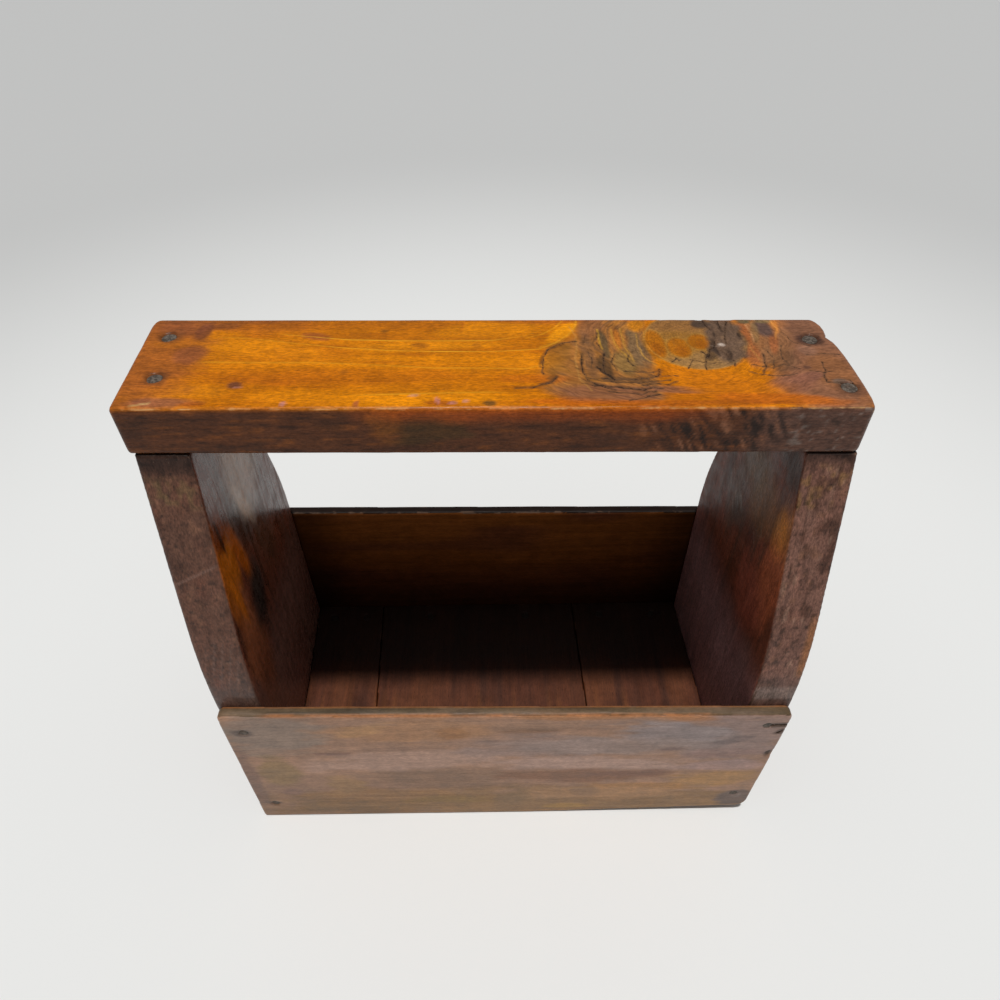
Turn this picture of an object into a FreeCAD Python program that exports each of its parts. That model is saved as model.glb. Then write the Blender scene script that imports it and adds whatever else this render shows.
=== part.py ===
import FreeCAD, Part
import Sketcher
import math
import os

# A hand-made wooden tool tote: two shaped end boards, a flat handle board nailed down on
# their tops, thin front and back boards nailed to their edges, and a raised floor of three
# boards on two bearers. +X runs to the right along the handle, +Y to the back, +Z up.
# The origin is under the middle of the handle, on the surface that the tote stands on.
# It was nailed up a little out of true: its ends are racked in plan, the tops of all its
# long boards fall slightly towards the right-hand end, and the front board sits askew.

doc = FreeCAD.newDocument("ToolTote")
dims = doc.addObject("Spreadsheet::Sheet", "dims")

SIZES = {
    # overall, with the height taken at the middle of the handle
    "overall_height": 287,
    "rack_angle": 2.5,
    "fall_angle": 0.9,
    "front_fall_angle": 1.2,
    # the base, measured over the end boards and over the thin boards
    "base_length": 300.8,
    "base_depth": 142,
    # handle board, with how far each end of it stands out past the base
    "handle_width": 67.5,
    "handle_thick": 24,
    "handle_arris": 2,
    "left_overhang": 2.1,
    "right_overhang": 1.9,
    # end boards, with the height at which their straight edges would meet their tapers,
    # which is higher at the back
    "left_end_thick": 23.4,
    "right_end_thick": 21.8,
    "taper_height": 146,
    "bend_radius": 260,
    "back_taper_height": 159,
    "back_bend_radius": 140,
    "end_arris": 1.5,
    # front and back boards, with their heights taken at the middle
    "side_thick": 6.5,
    "front_height": 117.5,
    "back_height": 129.8,
    "side_corner": 3.5,
    "side_arris": 1,
    # how far the front board's foot stands out at the left and stops short at the right,
    # how far its top leans over to the right, and the wear of its foot towards the right
    "front_left_out": 1,
    "front_right_in": 3.2,
    "front_lean": 2.5,
    "foot_wear": 6,
    "foot_wear_run": 130,
    "worn_corner": 7,
    # floor boards and the bearers under them
    "floor_height": 36,
    "floor_thick": 12,
    "floor_seam": 0.3,
    "left_floor_width": 46,
    "middle_floor_width": 135,
    "bearer_width": 15,
    "joint_clear": 0.2,
    # long nails, for the handle and the bearers
    "long_nail_length": 50,
    "long_shank_width": 3,
    "long_head_width": 7,
    "long_head_thick": 1.2,
    "long_point": 5,
    # short nails, for the thin boards and the floor
    "short_nail_length": 28,
    "short_shank_width": 2,
    "short_head_width": 5.5,
    "short_head_thick": 1,
    "short_point": 3.5,
    # how the nails sit
    "nail_sink": 0.4,
    "nail_clear": 0.1,
    "left_back_inset": 8.5,
    "left_front_inset": 10.8,
    "right_back_inset": 9.7,
    "right_front_inset": 6.1,
    "left_nail_back": 18.5,
    "left_nail_front": 12.5,
    "right_nail_back": 16.5,
    "right_nail_front": 19.5,
    "left_nail_drop": 17,
    "left_nail_rise": 17.5,
    "left_nail_splay": 2,
    "right_nail_drop": 11,
    "right_nail_rise": 22.5,
    "right_nail_in": 1.2,
    "back_nail_drop": 16.5,
    "back_nail_rise": 14,
    "back_nail_splay": 2,
    "floor_nail_edge": 5,
    "bearer_nail_inset": 4.5,
    "bearer_nail_rise": 7,
    # how far a cut runs past the wood that it goes through
    "overrun": 5,
}

for row, (alias, size) in enumerate(SIZES.items(), start=1):
    dims.set(f"A{row}", alias)
    dims.set(f"B{row}", str(size))
    dims.setAlias(f"B{row}", alias)
doc.recompute()

# Expressions that several pieces share, as text for the sketches and placements.
RACK = "tan(dims.rack_angle)"
FALL = "tan(dims.fall_angle)"
FRONT_FALL = "tan(dims.front_fall_angle)"
INNER_DEPTH = "(dims.base_depth / 2 - dims.side_thick)"
HANDLE_LENGTH = "(dims.base_length + dims.left_overhang + dims.right_overhang)"
LEFT_OUTER = f"(dims.left_overhang - {HANDLE_LENGTH} / 2)"
LEFT_INNER = f"({LEFT_OUTER} + dims.left_end_thick)"
RIGHT_OUTER = f"({HANDLE_LENGTH} / 2 - dims.right_overhang)"
RIGHT_INNER = f"({RIGHT_OUTER} - dims.right_end_thick)"
LEFT_MIDDLE = f"({LEFT_OUTER} + dims.left_end_thick / 2)"
RIGHT_MIDDLE = f"({RIGHT_OUTER} - dims.right_end_thick / 2)"
UNDERSIDE = "(dims.overall_height - dims.handle_thick)"
BEARER_HEIGHT = "(dims.floor_height - dims.floor_thick)"


def value(text):
    """The number that an expression comes to."""
    return float(dims.evalExpression(text))


def racked(x, y):
    """Where a line that crosses the middle of the tote at x lies at depth y."""
    return f"({x} - {RACK} * ({y}))"


def fallen(height, x, slope=FALL):
    """The height at x of a top that is at the given height over the origin."""
    return f"({height} - {slope} * ({x}))"


def origin_plane(body, role):
    for feature in body.Origin.OriginFeatures:
        if feature.Role == role:
            return feature
    raise ValueError(f"no plane {role}")


def new_body(name):
    body = doc.addObject("PartDesign::Body", f"{name}_blank")
    body.Label = f"{name}_blank"
    return body


def new_sketch(body, name, role):
    sketch = body.newObject("Sketcher::SketchObject", name)
    sketch.AttachmentSupport = [(origin_plane(body, role), "")]
    sketch.MapMode = "FlatFace"
    return sketch


def hold(sketch, what, text):
    """Constrain a sketch to a size given as an expression."""
    index = sketch.addConstraint(Sketcher.Constraint(*what, value(text)))
    sketch.setExpression(f"Constraints[{index}]", text)


def pin_point(sketch, geometry, point, corner):
    """Hold one point of a sketch at a corner given as two expressions."""
    for kind, text in zip(("DistanceX", "DistanceY"), corner):
        hold(sketch, (kind, -1, 1, geometry, point), text)


def spot(corner):
    return FreeCAD.Vector(value(corner[0]), value(corner[1]), 0)


def add_outline(sketch, corners):
    """A closed outline of straight lines, each corner held by its own two sizes."""
    first = sketch.GeometryCount
    count = len(corners)
    for index, corner in enumerate(corners):
        following = corners[(index + 1) % count]
        sketch.addGeometry(Part.LineSegment(spot(corner), spot(following)), False)
    for index, corner in enumerate(corners):
        joined = first + (index + 1) % count
        sketch.addConstraint(Sketcher.Constraint("Coincident", first + index, 2, joined, 1))
        pin_point(sketch, first + index, 1, corner)


def pad(body, name, sketch, length, both_ways=False):
    feature = body.newObject("PartDesign::Pad", name)
    feature.Profile = sketch
    feature.setExpression("Length", length)
    if both_ways:
        feature.SideType = "Symmetric"
    doc.recompute()
    return feature


def cut_through(body, name, sketch):
    """A cut right through the body both ways, which must take wood away."""
    before = body.Shape.Volume
    feature = body.newObject("PartDesign::Pocket", name)
    feature.Profile = sketch
    feature.Type = "ThroughAll"
    feature.SideType = "Symmetric"
    doc.recompute()
    if body.Shape.Volume >= before:
        raise ValueError(f"{name} cuts nothing")
    return feature


def round_edges(body, name, radius, wanted):
    """Round each edge of the body for which the test holds."""
    names = [
        f"Edge{number}"
        for number, edge in enumerate(body.Shape.Edges, start=1)
        if wanted(edge)
    ]
    base = body.Tip
    feature = body.newObject("PartDesign::Fillet", name)
    feature.Base = (base, names)
    feature.setExpression("Radius", radius)
    doc.recompute()
    return feature


# Nails: a flat round head, a plain wire shank and a point, made once for each of the two
# sizes. A nail lies with its head's top at its own origin and its shank down its -Z.
# Beside each nail goes the hole that it was driven through, a little larger all over.

def profile(name, corners):
    sketch = doc.addObject("Sketcher::SketchObject", name)
    add_outline(sketch, corners)
    upright = FreeCAD.Rotation(FreeCAD.Vector(1, 0, 0), 90)
    sketch.Placement = FreeCAD.Placement(FreeCAD.Vector(), upright)
    doc.recompute()
    return sketch


def nail_profiles(size):
    shank = f"dims.{size}_shank_width / 2"
    head = f"dims.{size}_head_width / 2"
    head_low = f"-dims.{size}_head_thick"
    tip = f"-dims.{size}_nail_length"
    shoulder = f"(dims.{size}_point - dims.{size}_nail_length)"
    nail = profile(f"{size}_nail", [
        ("0", "0"), (head, "0"), (head, head_low),
        (shank, head_low), (shank, shoulder), ("0", tip),
    ])
    clear = "dims.nail_clear"
    hole = profile(f"{size}_nail_hole", [
        ("0", "dims.overrun"),
        (f"({head} + {clear})", "dims.overrun"),
        (f"({head} + {clear})", f"({head_low} - {clear})"),
        (f"({shank} + {clear})", f"({head_low} - {clear})"),
        (f"({shank} + {clear})", f"({tip} - {clear})"),
        ("0", f"({tip} - {clear})"),
    ])
    return nail, hole


LONG_NAIL = nail_profiles("long")
SHORT_NAIL = nail_profiles("short")

# The ways that nails are driven, as the axis and the turn about it of a nail that lies
# point down.
DOWNWARD = ((0, 0, 1), 0)
BACKWARD = ((1, 0, 0), 90)
FORWARD = ((1, 0, 0), -90)
RIGHTWARD = ((0, 1, 0), -90)
LEFTWARD = ((0, 1, 0), 90)


def turned(name, sketch, driven, place):
    """A nail or a nail's hole, turned the way it is driven and put at its place."""
    piece = doc.addObject("Part::Revolution", name)
    piece.Source = sketch
    piece.Axis = FreeCAD.Vector(0, 0, 1)
    piece.Base = FreeCAD.Vector(0, 0, 0)
    piece.Solid = True
    axis, turn = driven
    rotation = FreeCAD.Rotation(FreeCAD.Vector(*axis), turn)
    piece.Placement = FreeCAD.Placement(FreeCAD.Vector(), rotation)
    for letter, text in zip("xyz", place):
        piece.setExpression(f"Placement.Base.{letter}", text)
    return piece


def group(name, pieces):
    gathered = doc.addObject("Part::Compound", name)
    gathered.Links = pieces
    gathered.Label = name
    return gathered


def nail_group(name, kind, driven, places):
    """A node of like nails, and the group of the holes that they make."""
    nail_sketch, hole_sketch = kind
    nails = []
    holes = []
    for number, place in enumerate(places, start=1):
        nails.append(turned(f"{name}_{number}", nail_sketch, driven, place))
        holes.append(turned(f"{name}_hole_{number}", hole_sketch, driven, place))
    return group(name, nails), group(f"{name}_holes", holes)


def bored(name, body, hole_groups):
    """The finished piece: its blank with the nail holes bored in it."""
    piece = doc.addObject("Part::Cut", name)
    piece.Base = body
    piece.Tool = group(f"{name}_bores", hole_groups)
    piece.Label = name
    return piece


# Where the nails go. Nails in the handle stand over the end boards, two at each end, each
# set in by its own amount from the end board's outer face, and not square with each other.
def handle_nail(outer, inset, y):
    x = f"({racked(outer, y)} + {inset})"
    return x, y, f"({fallen('dims.overall_height', x)} - dims.nail_sink)"


left_handle_nails, left_handle_holes = nail_group(
    "left_handle_nails", LONG_NAIL, DOWNWARD,
    [handle_nail(LEFT_OUTER, "dims.left_back_inset", "dims.left_nail_back"),
     handle_nail(LEFT_OUTER, "dims.left_front_inset", "-dims.left_nail_front")])
right_handle_nails, right_handle_holes = nail_group(
    "right_handle_nails", LONG_NAIL, DOWNWARD,
    [handle_nail(RIGHT_OUTER, "-dims.right_back_inset", "dims.right_nail_back"),
     handle_nail(RIGHT_OUTER, "-dims.right_front_inset", "-dims.right_nail_front")])


# Nails through the thin boards go into the end boards' edges, one near the top of the
# board and one near its foot. Each is given as its height and how far it is right or left
# of the middle of the end board's edge.
def side_nails(middle, face, sink, top, foot):
    x = racked(middle, face)
    y = f"({face} + {sink})"
    return [(f"({x} {aside})", y, height) for height, aside in (top, foot)]


def top_nail(middle, face, height, drop, slope, aside):
    return f"({fallen(height, racked(middle, face), slope)} - {drop})", aside


FRONT_FACE = "(-dims.base_depth / 2)"
BACK_FACE = "(dims.base_depth / 2)"
left_front_nails, left_front_holes = nail_group(
    "left_front_nails", SHORT_NAIL, BACKWARD,
    side_nails(
        LEFT_MIDDLE, FRONT_FACE, "dims.nail_sink",
        top_nail(
            LEFT_MIDDLE, FRONT_FACE, "dims.front_height", "dims.left_nail_drop", FRONT_FALL, ""),
        ("dims.left_nail_rise", "- dims.left_nail_splay")))
right_front_nails, right_front_holes = nail_group(
    "right_front_nails", SHORT_NAIL, BACKWARD,
    side_nails(
        RIGHT_MIDDLE, FRONT_FACE, "dims.nail_sink",
        top_nail(
            RIGHT_MIDDLE, FRONT_FACE, "dims.front_height", "dims.right_nail_drop", FRONT_FALL,
            "- dims.right_nail_in"),
        ("dims.right_nail_rise", "- dims.right_nail_in * 2")))
left_back_nails, left_back_holes = nail_group(
    "left_back_nails", SHORT_NAIL, FORWARD,
    side_nails(
        LEFT_MIDDLE, BACK_FACE, "-dims.nail_sink",
        top_nail(LEFT_MIDDLE, BACK_FACE, "dims.back_height", "dims.back_nail_drop", FALL, ""),
        ("dims.back_nail_rise", "- dims.back_nail_splay")))
right_back_nails, right_back_holes = nail_group(
    "right_back_nails", SHORT_NAIL, FORWARD,
    side_nails(
        RIGHT_MIDDLE, BACK_FACE, "-dims.nail_sink",
        top_nail(RIGHT_MIDDLE, BACK_FACE, "dims.back_height", "dims.back_nail_drop", FALL, ""),
        ("dims.back_nail_rise", "+ dims.back_nail_splay")))


# Each bearer is held by one long nail through each end board into its end grain.
def bearer_nails(outer, sink):
    depth = f"({INNER_DEPTH} - dims.bearer_nail_inset)"
    places = []
    for y in (f"(-{depth})", depth):
        places.append((f"({racked(outer, y)} + {sink})", y, "dims.bearer_nail_rise"))
    return places


left_bearer_nails, left_bearer_holes = nail_group(
    "left_bearer_nails", LONG_NAIL, RIGHTWARD, bearer_nails(LEFT_OUTER, "dims.nail_sink"))
right_bearer_nails, right_bearer_holes = nail_group(
    "right_bearer_nails", LONG_NAIL, LEFTWARD, bearer_nails(RIGHT_OUTER, "-dims.nail_sink"))

# Floor boards lie side by side from the left end board to the right one, with a thin
# seam between them. The last one fills what is left.
LEFT_SEAM = f"({LEFT_INNER} + dims.joint_clear + dims.left_floor_width)"
RIGHT_SEAM = f"({LEFT_SEAM} + dims.floor_seam + dims.middle_floor_width)"
FLOOR_SIDES = {
    "left_floor_board": (f"({LEFT_INNER} + dims.joint_clear)", LEFT_SEAM),
    "middle_floor_board": (f"({LEFT_SEAM} + dims.floor_seam)", RIGHT_SEAM),
    "right_floor_board": (f"({RIGHT_SEAM} + dims.floor_seam)", f"({RIGHT_INNER} - dims.joint_clear)"),
}


# Each floor board has two short nails into each bearer, a quarter of its width in.
def floor_nails(y):
    height = "(dims.floor_height - dims.nail_sink)"
    places = []
    for low, high in FLOOR_SIDES.values():
        places.append((racked(f"(({low} * 3 + {high}) / 4)", y), y, height))
        places.append((racked(f"(({low} + {high} * 3) / 4)", y), y, height))
    return places


FLOOR_NAIL_LINE = f"({INNER_DEPTH} - dims.bearer_width + dims.floor_nail_edge)"
front_floor_nails, front_floor_holes = nail_group(
    "front_floor_nails", SHORT_NAIL, DOWNWARD, floor_nails(f"(-{FLOOR_NAIL_LINE})"))
back_floor_nails, back_floor_holes = nail_group(
    "back_floor_nails", SHORT_NAIL, DOWNWARD, floor_nails(FLOOR_NAIL_LINE))
doc.recompute()


# Handle board: a plank planed on both faces and both edges, its ends sawn to follow the
# racked end boards under it, all its corners and arrises rounded by wear.
def make_handle():
    body = new_body("handle_board")
    far = f"({HANDLE_LENGTH} / 2 + dims.overrun)"
    near = f"(-{far})"
    sketch = new_sketch(body, "handle_side_view", "XZ_Plane")
    add_outline(sketch, [
        (near, fallen(UNDERSIDE, near)), (far, fallen(UNDERSIDE, far)),
        (far, fallen("dims.overall_height", far)), (near, fallen("dims.overall_height", near)),
    ])
    pad(body, "handle_plank", sketch, "dims.handle_width", both_ways=True)
    waste = new_sketch(body, "handle_end_waste", "XY_Plane")
    depth = "(dims.handle_width / 2 + dims.overrun)"
    for side in ("", "-"):
        end = f"({side}{HANDLE_LENGTH} / 2)"
        beyond = f"({side}({HANDLE_LENGTH} / 2 + dims.overrun * 2))"
        add_outline(waste, [
            (racked(end, f"-{depth}"), f"(-{depth})"), (beyond, f"(-{depth})"),
            (beyond, depth), (racked(end, depth), depth),
        ])
    cut_through(body, "handle_ends", waste)
    round_edges(body, "handle_arrises", "dims.handle_arris", lambda edge: True)
    holes = [left_handle_holes, right_handle_holes]
    return bored("handle_board", body, holes)


# End board: a plank that stands on its end, straight below and tapered above a gentle
# bend on both edges, until it is as wide as the handle that it carries.
def add_edge_waste(sketch, side, middle, taper_height, bend_radius):
    """The wood sawn off one edge, along an arc that runs on into a straight taper."""
    sign = -1 if side else 1
    edge = f"({side}{INNER_DEPTH})"
    clear = f"({side}({INNER_DEPTH} + dims.overrun))"
    neck = (f"({side}dims.handle_width / 2)", fallen(UNDERSIDE, middle))
    over = f"({neck[1]} + dims.overrun)"
    # where the arc starts and ends, the same length either side of the sharp corner
    corner = spot((edge, taper_height))
    taper = (spot(neck) - corner).normalize()
    bend = taper.getAngle(FreeCAD.Vector(0, 1, 0))
    radius = value(bend_radius)
    reach = radius * math.tan(bend / 2)
    centre = corner - FreeCAD.Vector(sign * radius, reach, 0)
    arc_start = corner - FreeCAD.Vector(0, reach, 0)
    arc_end = corner + taper * reach
    crown = centre + (corner - centre).normalize() * radius
    foot = FreeCAD.Vector(value(clear), arc_start.y, 0)
    points = [arc_end, spot(neck), spot((neck[0], over)), spot((clear, over)), foot, arc_start]
    lines = [
        sketch.addGeometry(Part.LineSegment(start, end), False)
        for start, end in zip(points, points[1:])
    ]
    arc = sketch.addGeometry(Part.Arc(arc_start, crown, arc_end), False)
    sharp = sketch.addGeometry(Part.Point(corner), True)
    for line, following in zip(lines, lines[1:]):
        sketch.addConstraint(Sketcher.Constraint("Coincident", line, 2, following, 1))
    # an arc's ends are counted anticlockwise, so they change places on the other edge
    low_end, high_end = (1, 2) if sign > 0 else (2, 1)
    sketch.addConstraint(Sketcher.Constraint("Coincident", lines[-1], 2, arc, low_end))
    sketch.addConstraint(Sketcher.Constraint("Tangent", lines[0], 1, arc, high_end))
    sketch.addConstraint(Sketcher.Constraint("PointOnObject", sharp, 1, lines[0]))
    sketch.addConstraint(Sketcher.Constraint("Horizontal", arc, 3, arc, low_end))
    sketch.addConstraint(Sketcher.Constraint("Horizontal", lines[-1]))
    pin_point(sketch, sharp, 1, (edge, taper_height))
    pin_point(sketch, lines[0], 2, neck)
    pin_point(sketch, lines[1], 2, (neck[0], over))
    pin_point(sketch, lines[2], 2, (clear, over))
    hold(sketch, ("DistanceX", -1, 1, lines[3], 2), clear)
    hold(sketch, ("DistanceX", -1, 1, arc, low_end), edge)
    hold(sketch, ("Radius", arc), bend_radius)


def make_end_board(name, outer, inner, holes):
    body = new_body(name)
    front = f"(-{INNER_DEPTH})"
    plan = new_sketch(body, f"{name}_plan", "XY_Plane")
    add_outline(plan, [
        (racked(outer, front), front), (racked(inner, front), front),
        (racked(inner, INNER_DEPTH), INNER_DEPTH), (racked(outer, INNER_DEPTH), INNER_DEPTH),
    ])
    low_side, high_side = sorted((outer, inner), key=value)
    spare = f"({RACK} * {INNER_DEPTH} + dims.overrun)"
    low = f"({low_side} - {spare})"
    high = f"({high_side} + {spare})"
    tallest = fallen(UNDERSIDE, low)
    over = f"({tallest} + dims.overrun)"
    pad(body, f"{name}_plank", plan, tallest)
    top_waste = new_sketch(body, f"{name}_top_waste", "XZ_Plane")
    add_outline(top_waste, [
        (low, tallest), (high, fallen(UNDERSIDE, high)), (high, over), (low, over),
    ])
    cut_through(body, f"{name}_top", top_waste)
    edge_waste = new_sketch(body, f"{name}_edge_waste", "YZ_Plane")
    middle = f"(({outer} + {inner}) / 2)"
    add_edge_waste(edge_waste, "", middle, "dims.back_taper_height", "dims.back_bend_radius")
    add_edge_waste(edge_waste, "-", middle, "dims.taper_height", "dims.bend_radius")
    cut_through(body, f"{name}_edges", edge_waste)
    thick = value("dims.handle_thick")
    round_edges(
        body, f"{name}_arrises", "dims.end_arris",
        lambda edge: edge.BoundBox.ZLength > thick)
    return bored(name, body, holes)


# Front and back boards: thin boards that run right across the end boards' edges, their top
# corners rounded by wear. The back one is cut off flush with the end boards. The front one
# sits a little askew, and its foot and its lower right-hand corner are worn away.
FRONT_MIDDLE = "((dims.side_thick - dims.base_depth) / 2)"
BACK_MIDDLE = "((dims.base_depth - dims.side_thick) / 2)"
FRONT_LEFT = f"({racked(LEFT_OUTER, FRONT_MIDDLE)} - dims.front_left_out)"
FRONT_RIGHT = f"({racked(RIGHT_OUTER, FRONT_MIDDLE)} - dims.front_right_in)"
FRONT_TOP_LEFT = f"({FRONT_LEFT} + dims.front_lean)"
FRONT_TOP_RIGHT = f"({FRONT_RIGHT} + dims.front_lean)"
BACK_LEFT = racked(LEFT_OUTER, BACK_MIDDLE)
BACK_RIGHT = racked(RIGHT_OUTER, BACK_MIDDLE)
FRONT_OUTLINE = [
    (FRONT_LEFT, "0"), (f"({FRONT_RIGHT} - dims.foot_wear_run)", "0"),
    (FRONT_RIGHT, "dims.foot_wear"),
    (FRONT_TOP_RIGHT, fallen("dims.front_height", FRONT_TOP_RIGHT, FRONT_FALL)),
    (FRONT_TOP_LEFT, fallen("dims.front_height", FRONT_TOP_LEFT, FRONT_FALL)),
]
BACK_OUTLINE = [
    (BACK_LEFT, "0"), (BACK_RIGHT, "0"),
    (BACK_RIGHT, fallen("dims.back_height", BACK_RIGHT)),
    (BACK_LEFT, fallen("dims.back_height", BACK_LEFT)),
]


def make_side_board(name, middle, outline, worn, holes):
    body = new_body(name)
    sketch = new_sketch(body, f"{name}_outline", "XZ_Plane")
    add_outline(sketch, outline)
    # the sketch faces forwards, so its distance from the middle plane is minus the depth
    sketch.setExpression("AttachmentOffset.Base.z", f"-{middle}")
    pad(body, f"{name}_plank", sketch, "dims.side_thick", both_ways=True)
    half_height = value("dims.front_height") / 2
    half_thick = value("dims.side_thick") / 2
    far_right = value(BACK_RIGHT) / 2

    def is_corner(edge):
        across = edge.BoundBox.YLength > half_thick
        return across and edge.BoundBox.XLength < half_thick and edge.BoundBox.ZLength < half_thick

    round_edges(
        body, f"{name}_corners", "dims.side_corner",
        lambda edge: is_corner(edge) and edge.BoundBox.ZMin > half_height)
    if worn:
        round_edges(
            body, f"{name}_worn_corner", "dims.worn_corner",
            lambda edge: is_corner(edge) and edge.BoundBox.ZMax < half_height
            and edge.BoundBox.XMin > far_right)
    round_edges(
        body, f"{name}_arrises", "dims.side_arris",
        lambda edge: edge.BoundBox.YLength < half_thick and edge.BoundBox.ZMin > half_height)
    return bored(name, body, holes)


# Floor boards: short boards with their grain from front to back, laid on the bearers.
def make_floor_board(name):
    body = new_body(name)
    low, high = FLOOR_SIDES[name]
    back = f"({INNER_DEPTH} - dims.joint_clear)"
    front = f"(-{back})"
    plan = new_sketch(body, f"{name}_plan", "XY_Plane")
    plan.setExpression("AttachmentOffset.Base.z", BEARER_HEIGHT)
    add_outline(plan, [
        (racked(low, front), front), (racked(high, front), front),
        (racked(high, back), back), (racked(low, back), back),
    ])
    pad(body, f"{name}_plank", plan, "dims.floor_thick")
    return bored(name, body, [front_floor_holes, back_floor_holes])


# Bearers: two square strips from end board to end board, against the thin boards.
def make_bearer(name, side):
    body = new_body(name)
    outer = f"({side}{INNER_DEPTH})"
    inner = f"({side}({INNER_DEPTH} - dims.bearer_width))"
    plan = new_sketch(body, f"{name}_plan", "XY_Plane")
    add_outline(plan, [
        (racked(LEFT_INNER, outer), outer), (racked(RIGHT_INNER, outer), outer),
        (racked(RIGHT_INNER, inner), inner), (racked(LEFT_INNER, inner), inner),
    ])
    pad(body, f"{name}_strip", plan, BEARER_HEIGHT)
    floor_holes = front_floor_holes if side else back_floor_holes
    return bored(name, body, [floor_holes, left_bearer_holes, right_bearer_holes])


pieces = [
    make_handle(),
    make_end_board(
        "left_end_board", LEFT_OUTER, LEFT_INNER,
        [left_handle_holes, left_front_holes, left_back_holes, left_bearer_holes]),
    make_end_board(
        "right_end_board", RIGHT_OUTER, RIGHT_INNER,
        [right_handle_holes, right_front_holes, right_back_holes, right_bearer_holes]),
    make_side_board(
        "front_board", FRONT_MIDDLE, FRONT_OUTLINE, True,
        [left_front_holes, right_front_holes]),
    make_side_board(
        "back_board", BACK_MIDDLE, BACK_OUTLINE, False,
        [left_back_holes, right_back_holes]),
    make_floor_board("left_floor_board"),
    make_floor_board("middle_floor_board"),
    make_floor_board("right_floor_board"),
    make_bearer("front_bearer", "-"),
    make_bearer("back_bearer", ""),
    left_handle_nails,
    right_handle_nails,
    left_front_nails,
    right_front_nails,
    left_back_nails,
    right_back_nails,
    left_bearer_nails,
    right_bearer_nails,
    front_floor_nails,
    back_floor_nails,
]
doc.recompute()

for item in doc.Objects:
    if "Invalid" in item.State or "Error" in item.State:
        raise ValueError(f"{item.Label} failed: {item.State}")
for piece in pieces:
    if piece.Shape.isNull() or not piece.Shape.isValid():
        raise ValueError(f"{piece.Label} has no valid shape")

os.makedirs("parts", exist_ok=True)
for piece in pieces:
    piece.Shape.exportStep(f"parts/{piece.Label}.step")
    box = piece.Shape.BoundBox
    print(
        f"{piece.Label}: {len(piece.Shape.Solids)} solid(s), {piece.Shape.Volume:.0f} mm3, "
        f"x {box.XMin:.2f} to {box.XMax:.2f}, y {box.YMin:.2f} to {box.YMax:.2f}, "
        f"z {box.ZMin:.2f} to {box.ZMax:.2f}")
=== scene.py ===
import math

import bmesh
import bpy
import numpy as np
from mathutils import Matrix, Vector


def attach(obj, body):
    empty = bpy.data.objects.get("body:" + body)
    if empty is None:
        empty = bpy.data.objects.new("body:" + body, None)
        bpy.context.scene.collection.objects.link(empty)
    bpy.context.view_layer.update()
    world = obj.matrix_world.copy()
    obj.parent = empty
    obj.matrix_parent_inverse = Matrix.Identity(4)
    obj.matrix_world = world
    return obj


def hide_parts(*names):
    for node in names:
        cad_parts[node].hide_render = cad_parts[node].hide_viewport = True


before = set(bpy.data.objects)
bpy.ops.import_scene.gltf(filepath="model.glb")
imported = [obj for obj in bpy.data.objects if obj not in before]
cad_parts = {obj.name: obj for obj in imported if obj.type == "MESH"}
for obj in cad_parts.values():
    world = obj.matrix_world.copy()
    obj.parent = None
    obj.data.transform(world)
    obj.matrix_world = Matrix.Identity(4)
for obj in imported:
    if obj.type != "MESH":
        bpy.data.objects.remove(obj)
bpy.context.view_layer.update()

scene = bpy.context.scene
scene.view_settings.view_transform = "Standard"

# The view. The tote is seen from over its front board, from about half a metre, with the
# camera tipped well down, rolled a hair, and with a wide lens.
CAMERA_PLACE = (0.00306, -0.2662878, 0.4635619)
CAMERA_DOWN = 0.7728812
CAMERA_TURN = -0.0037429
CAMERA_ROLL = -0.0171884


def put(name, data):
    """Put a thing into the scene."""
    thing = bpy.data.objects.new(name, data)
    scene.collection.objects.link(thing)
    return thing


camera = put("camera", bpy.data.cameras.new("camera"))
camera.data.lens = 26.657
camera.data.clip_start = 0.01
camera.matrix_world = (
    Matrix.Translation(CAMERA_PLACE) @ Matrix.Rotation(-CAMERA_TURN, 4, "Z")
    @ Matrix.Rotation(math.pi / 2 - CAMERA_DOWN, 4, "X") @ Matrix.Rotation(CAMERA_ROLL, 4, "Z"))
scene.camera = camera


# The table: a plain pale sheet under the tote. One far lamp shines from nearly overhead, a
# little towards the front, and the pale room fills in the shadows weakly.
class Finish:
    """A material with one shader. Its add call puts in one more node and joins it up."""

    def __init__(self, name, tree=None):
        if tree is None:
            self.material = bpy.data.materials.new(name)
            self.material.use_nodes = True
            tree = self.material.node_tree
            tree.nodes.clear()
        self.tree = tree

    def join(self, given, socket):
        """Give a socket a value, another socket, or a node's first output."""
        if isinstance(given, bpy.types.Node):
            given = given.outputs[0]
        if isinstance(given, bpy.types.NodeSocket):
            self.tree.links.new(given, socket)
        else:
            socket.default_value = given

    def add(self, kind, inputs=(), **settings):
        node = self.tree.nodes.new(kind)
        for key, setting in settings.items():
            setattr(node, key, setting)
        for key, given in dict(inputs).items():
            self.join(given, node.inputs[key])
        return node

    def maths(self, operation, *terms):
        """Work up the terms from left to right, or change a single one."""
        done, *others = terms
        for term in others or [0.0]:
            done = self.add("ShaderNodeMath", {0: done, 1: term}, operation=operation)
        return done

    def times(self, *terms):
        return self.maths("MULTIPLY", *terms)

    def blend(self, amount, under, over, kind="MIX"):
        return self.add(
            "ShaderNodeMix", {0: amount, 6: under, 7: over},
            data_type="RGBA", blend_type=kind).outputs[2]

    def step(self, given, low, high, to_low=0.0, to_high=1.0):
        return self.add(
            "ShaderNodeMapRange", {0: given, 1: low, 2: high, 3: to_low, 4: to_high},
            interpolation_type="SMOOTHSTEP")

    def stretched(self, places, sizes):
        return self.add("ShaderNodeMapping", {0: places, "Scale": sizes})

    def cloud(self, places, detail, rough, scale=1.0):
        return self.add(
            "ShaderNodeTexNoise",
            {"Vector": places, "Scale": scale, "Detail": detail, "Roughness": rough})


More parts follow.
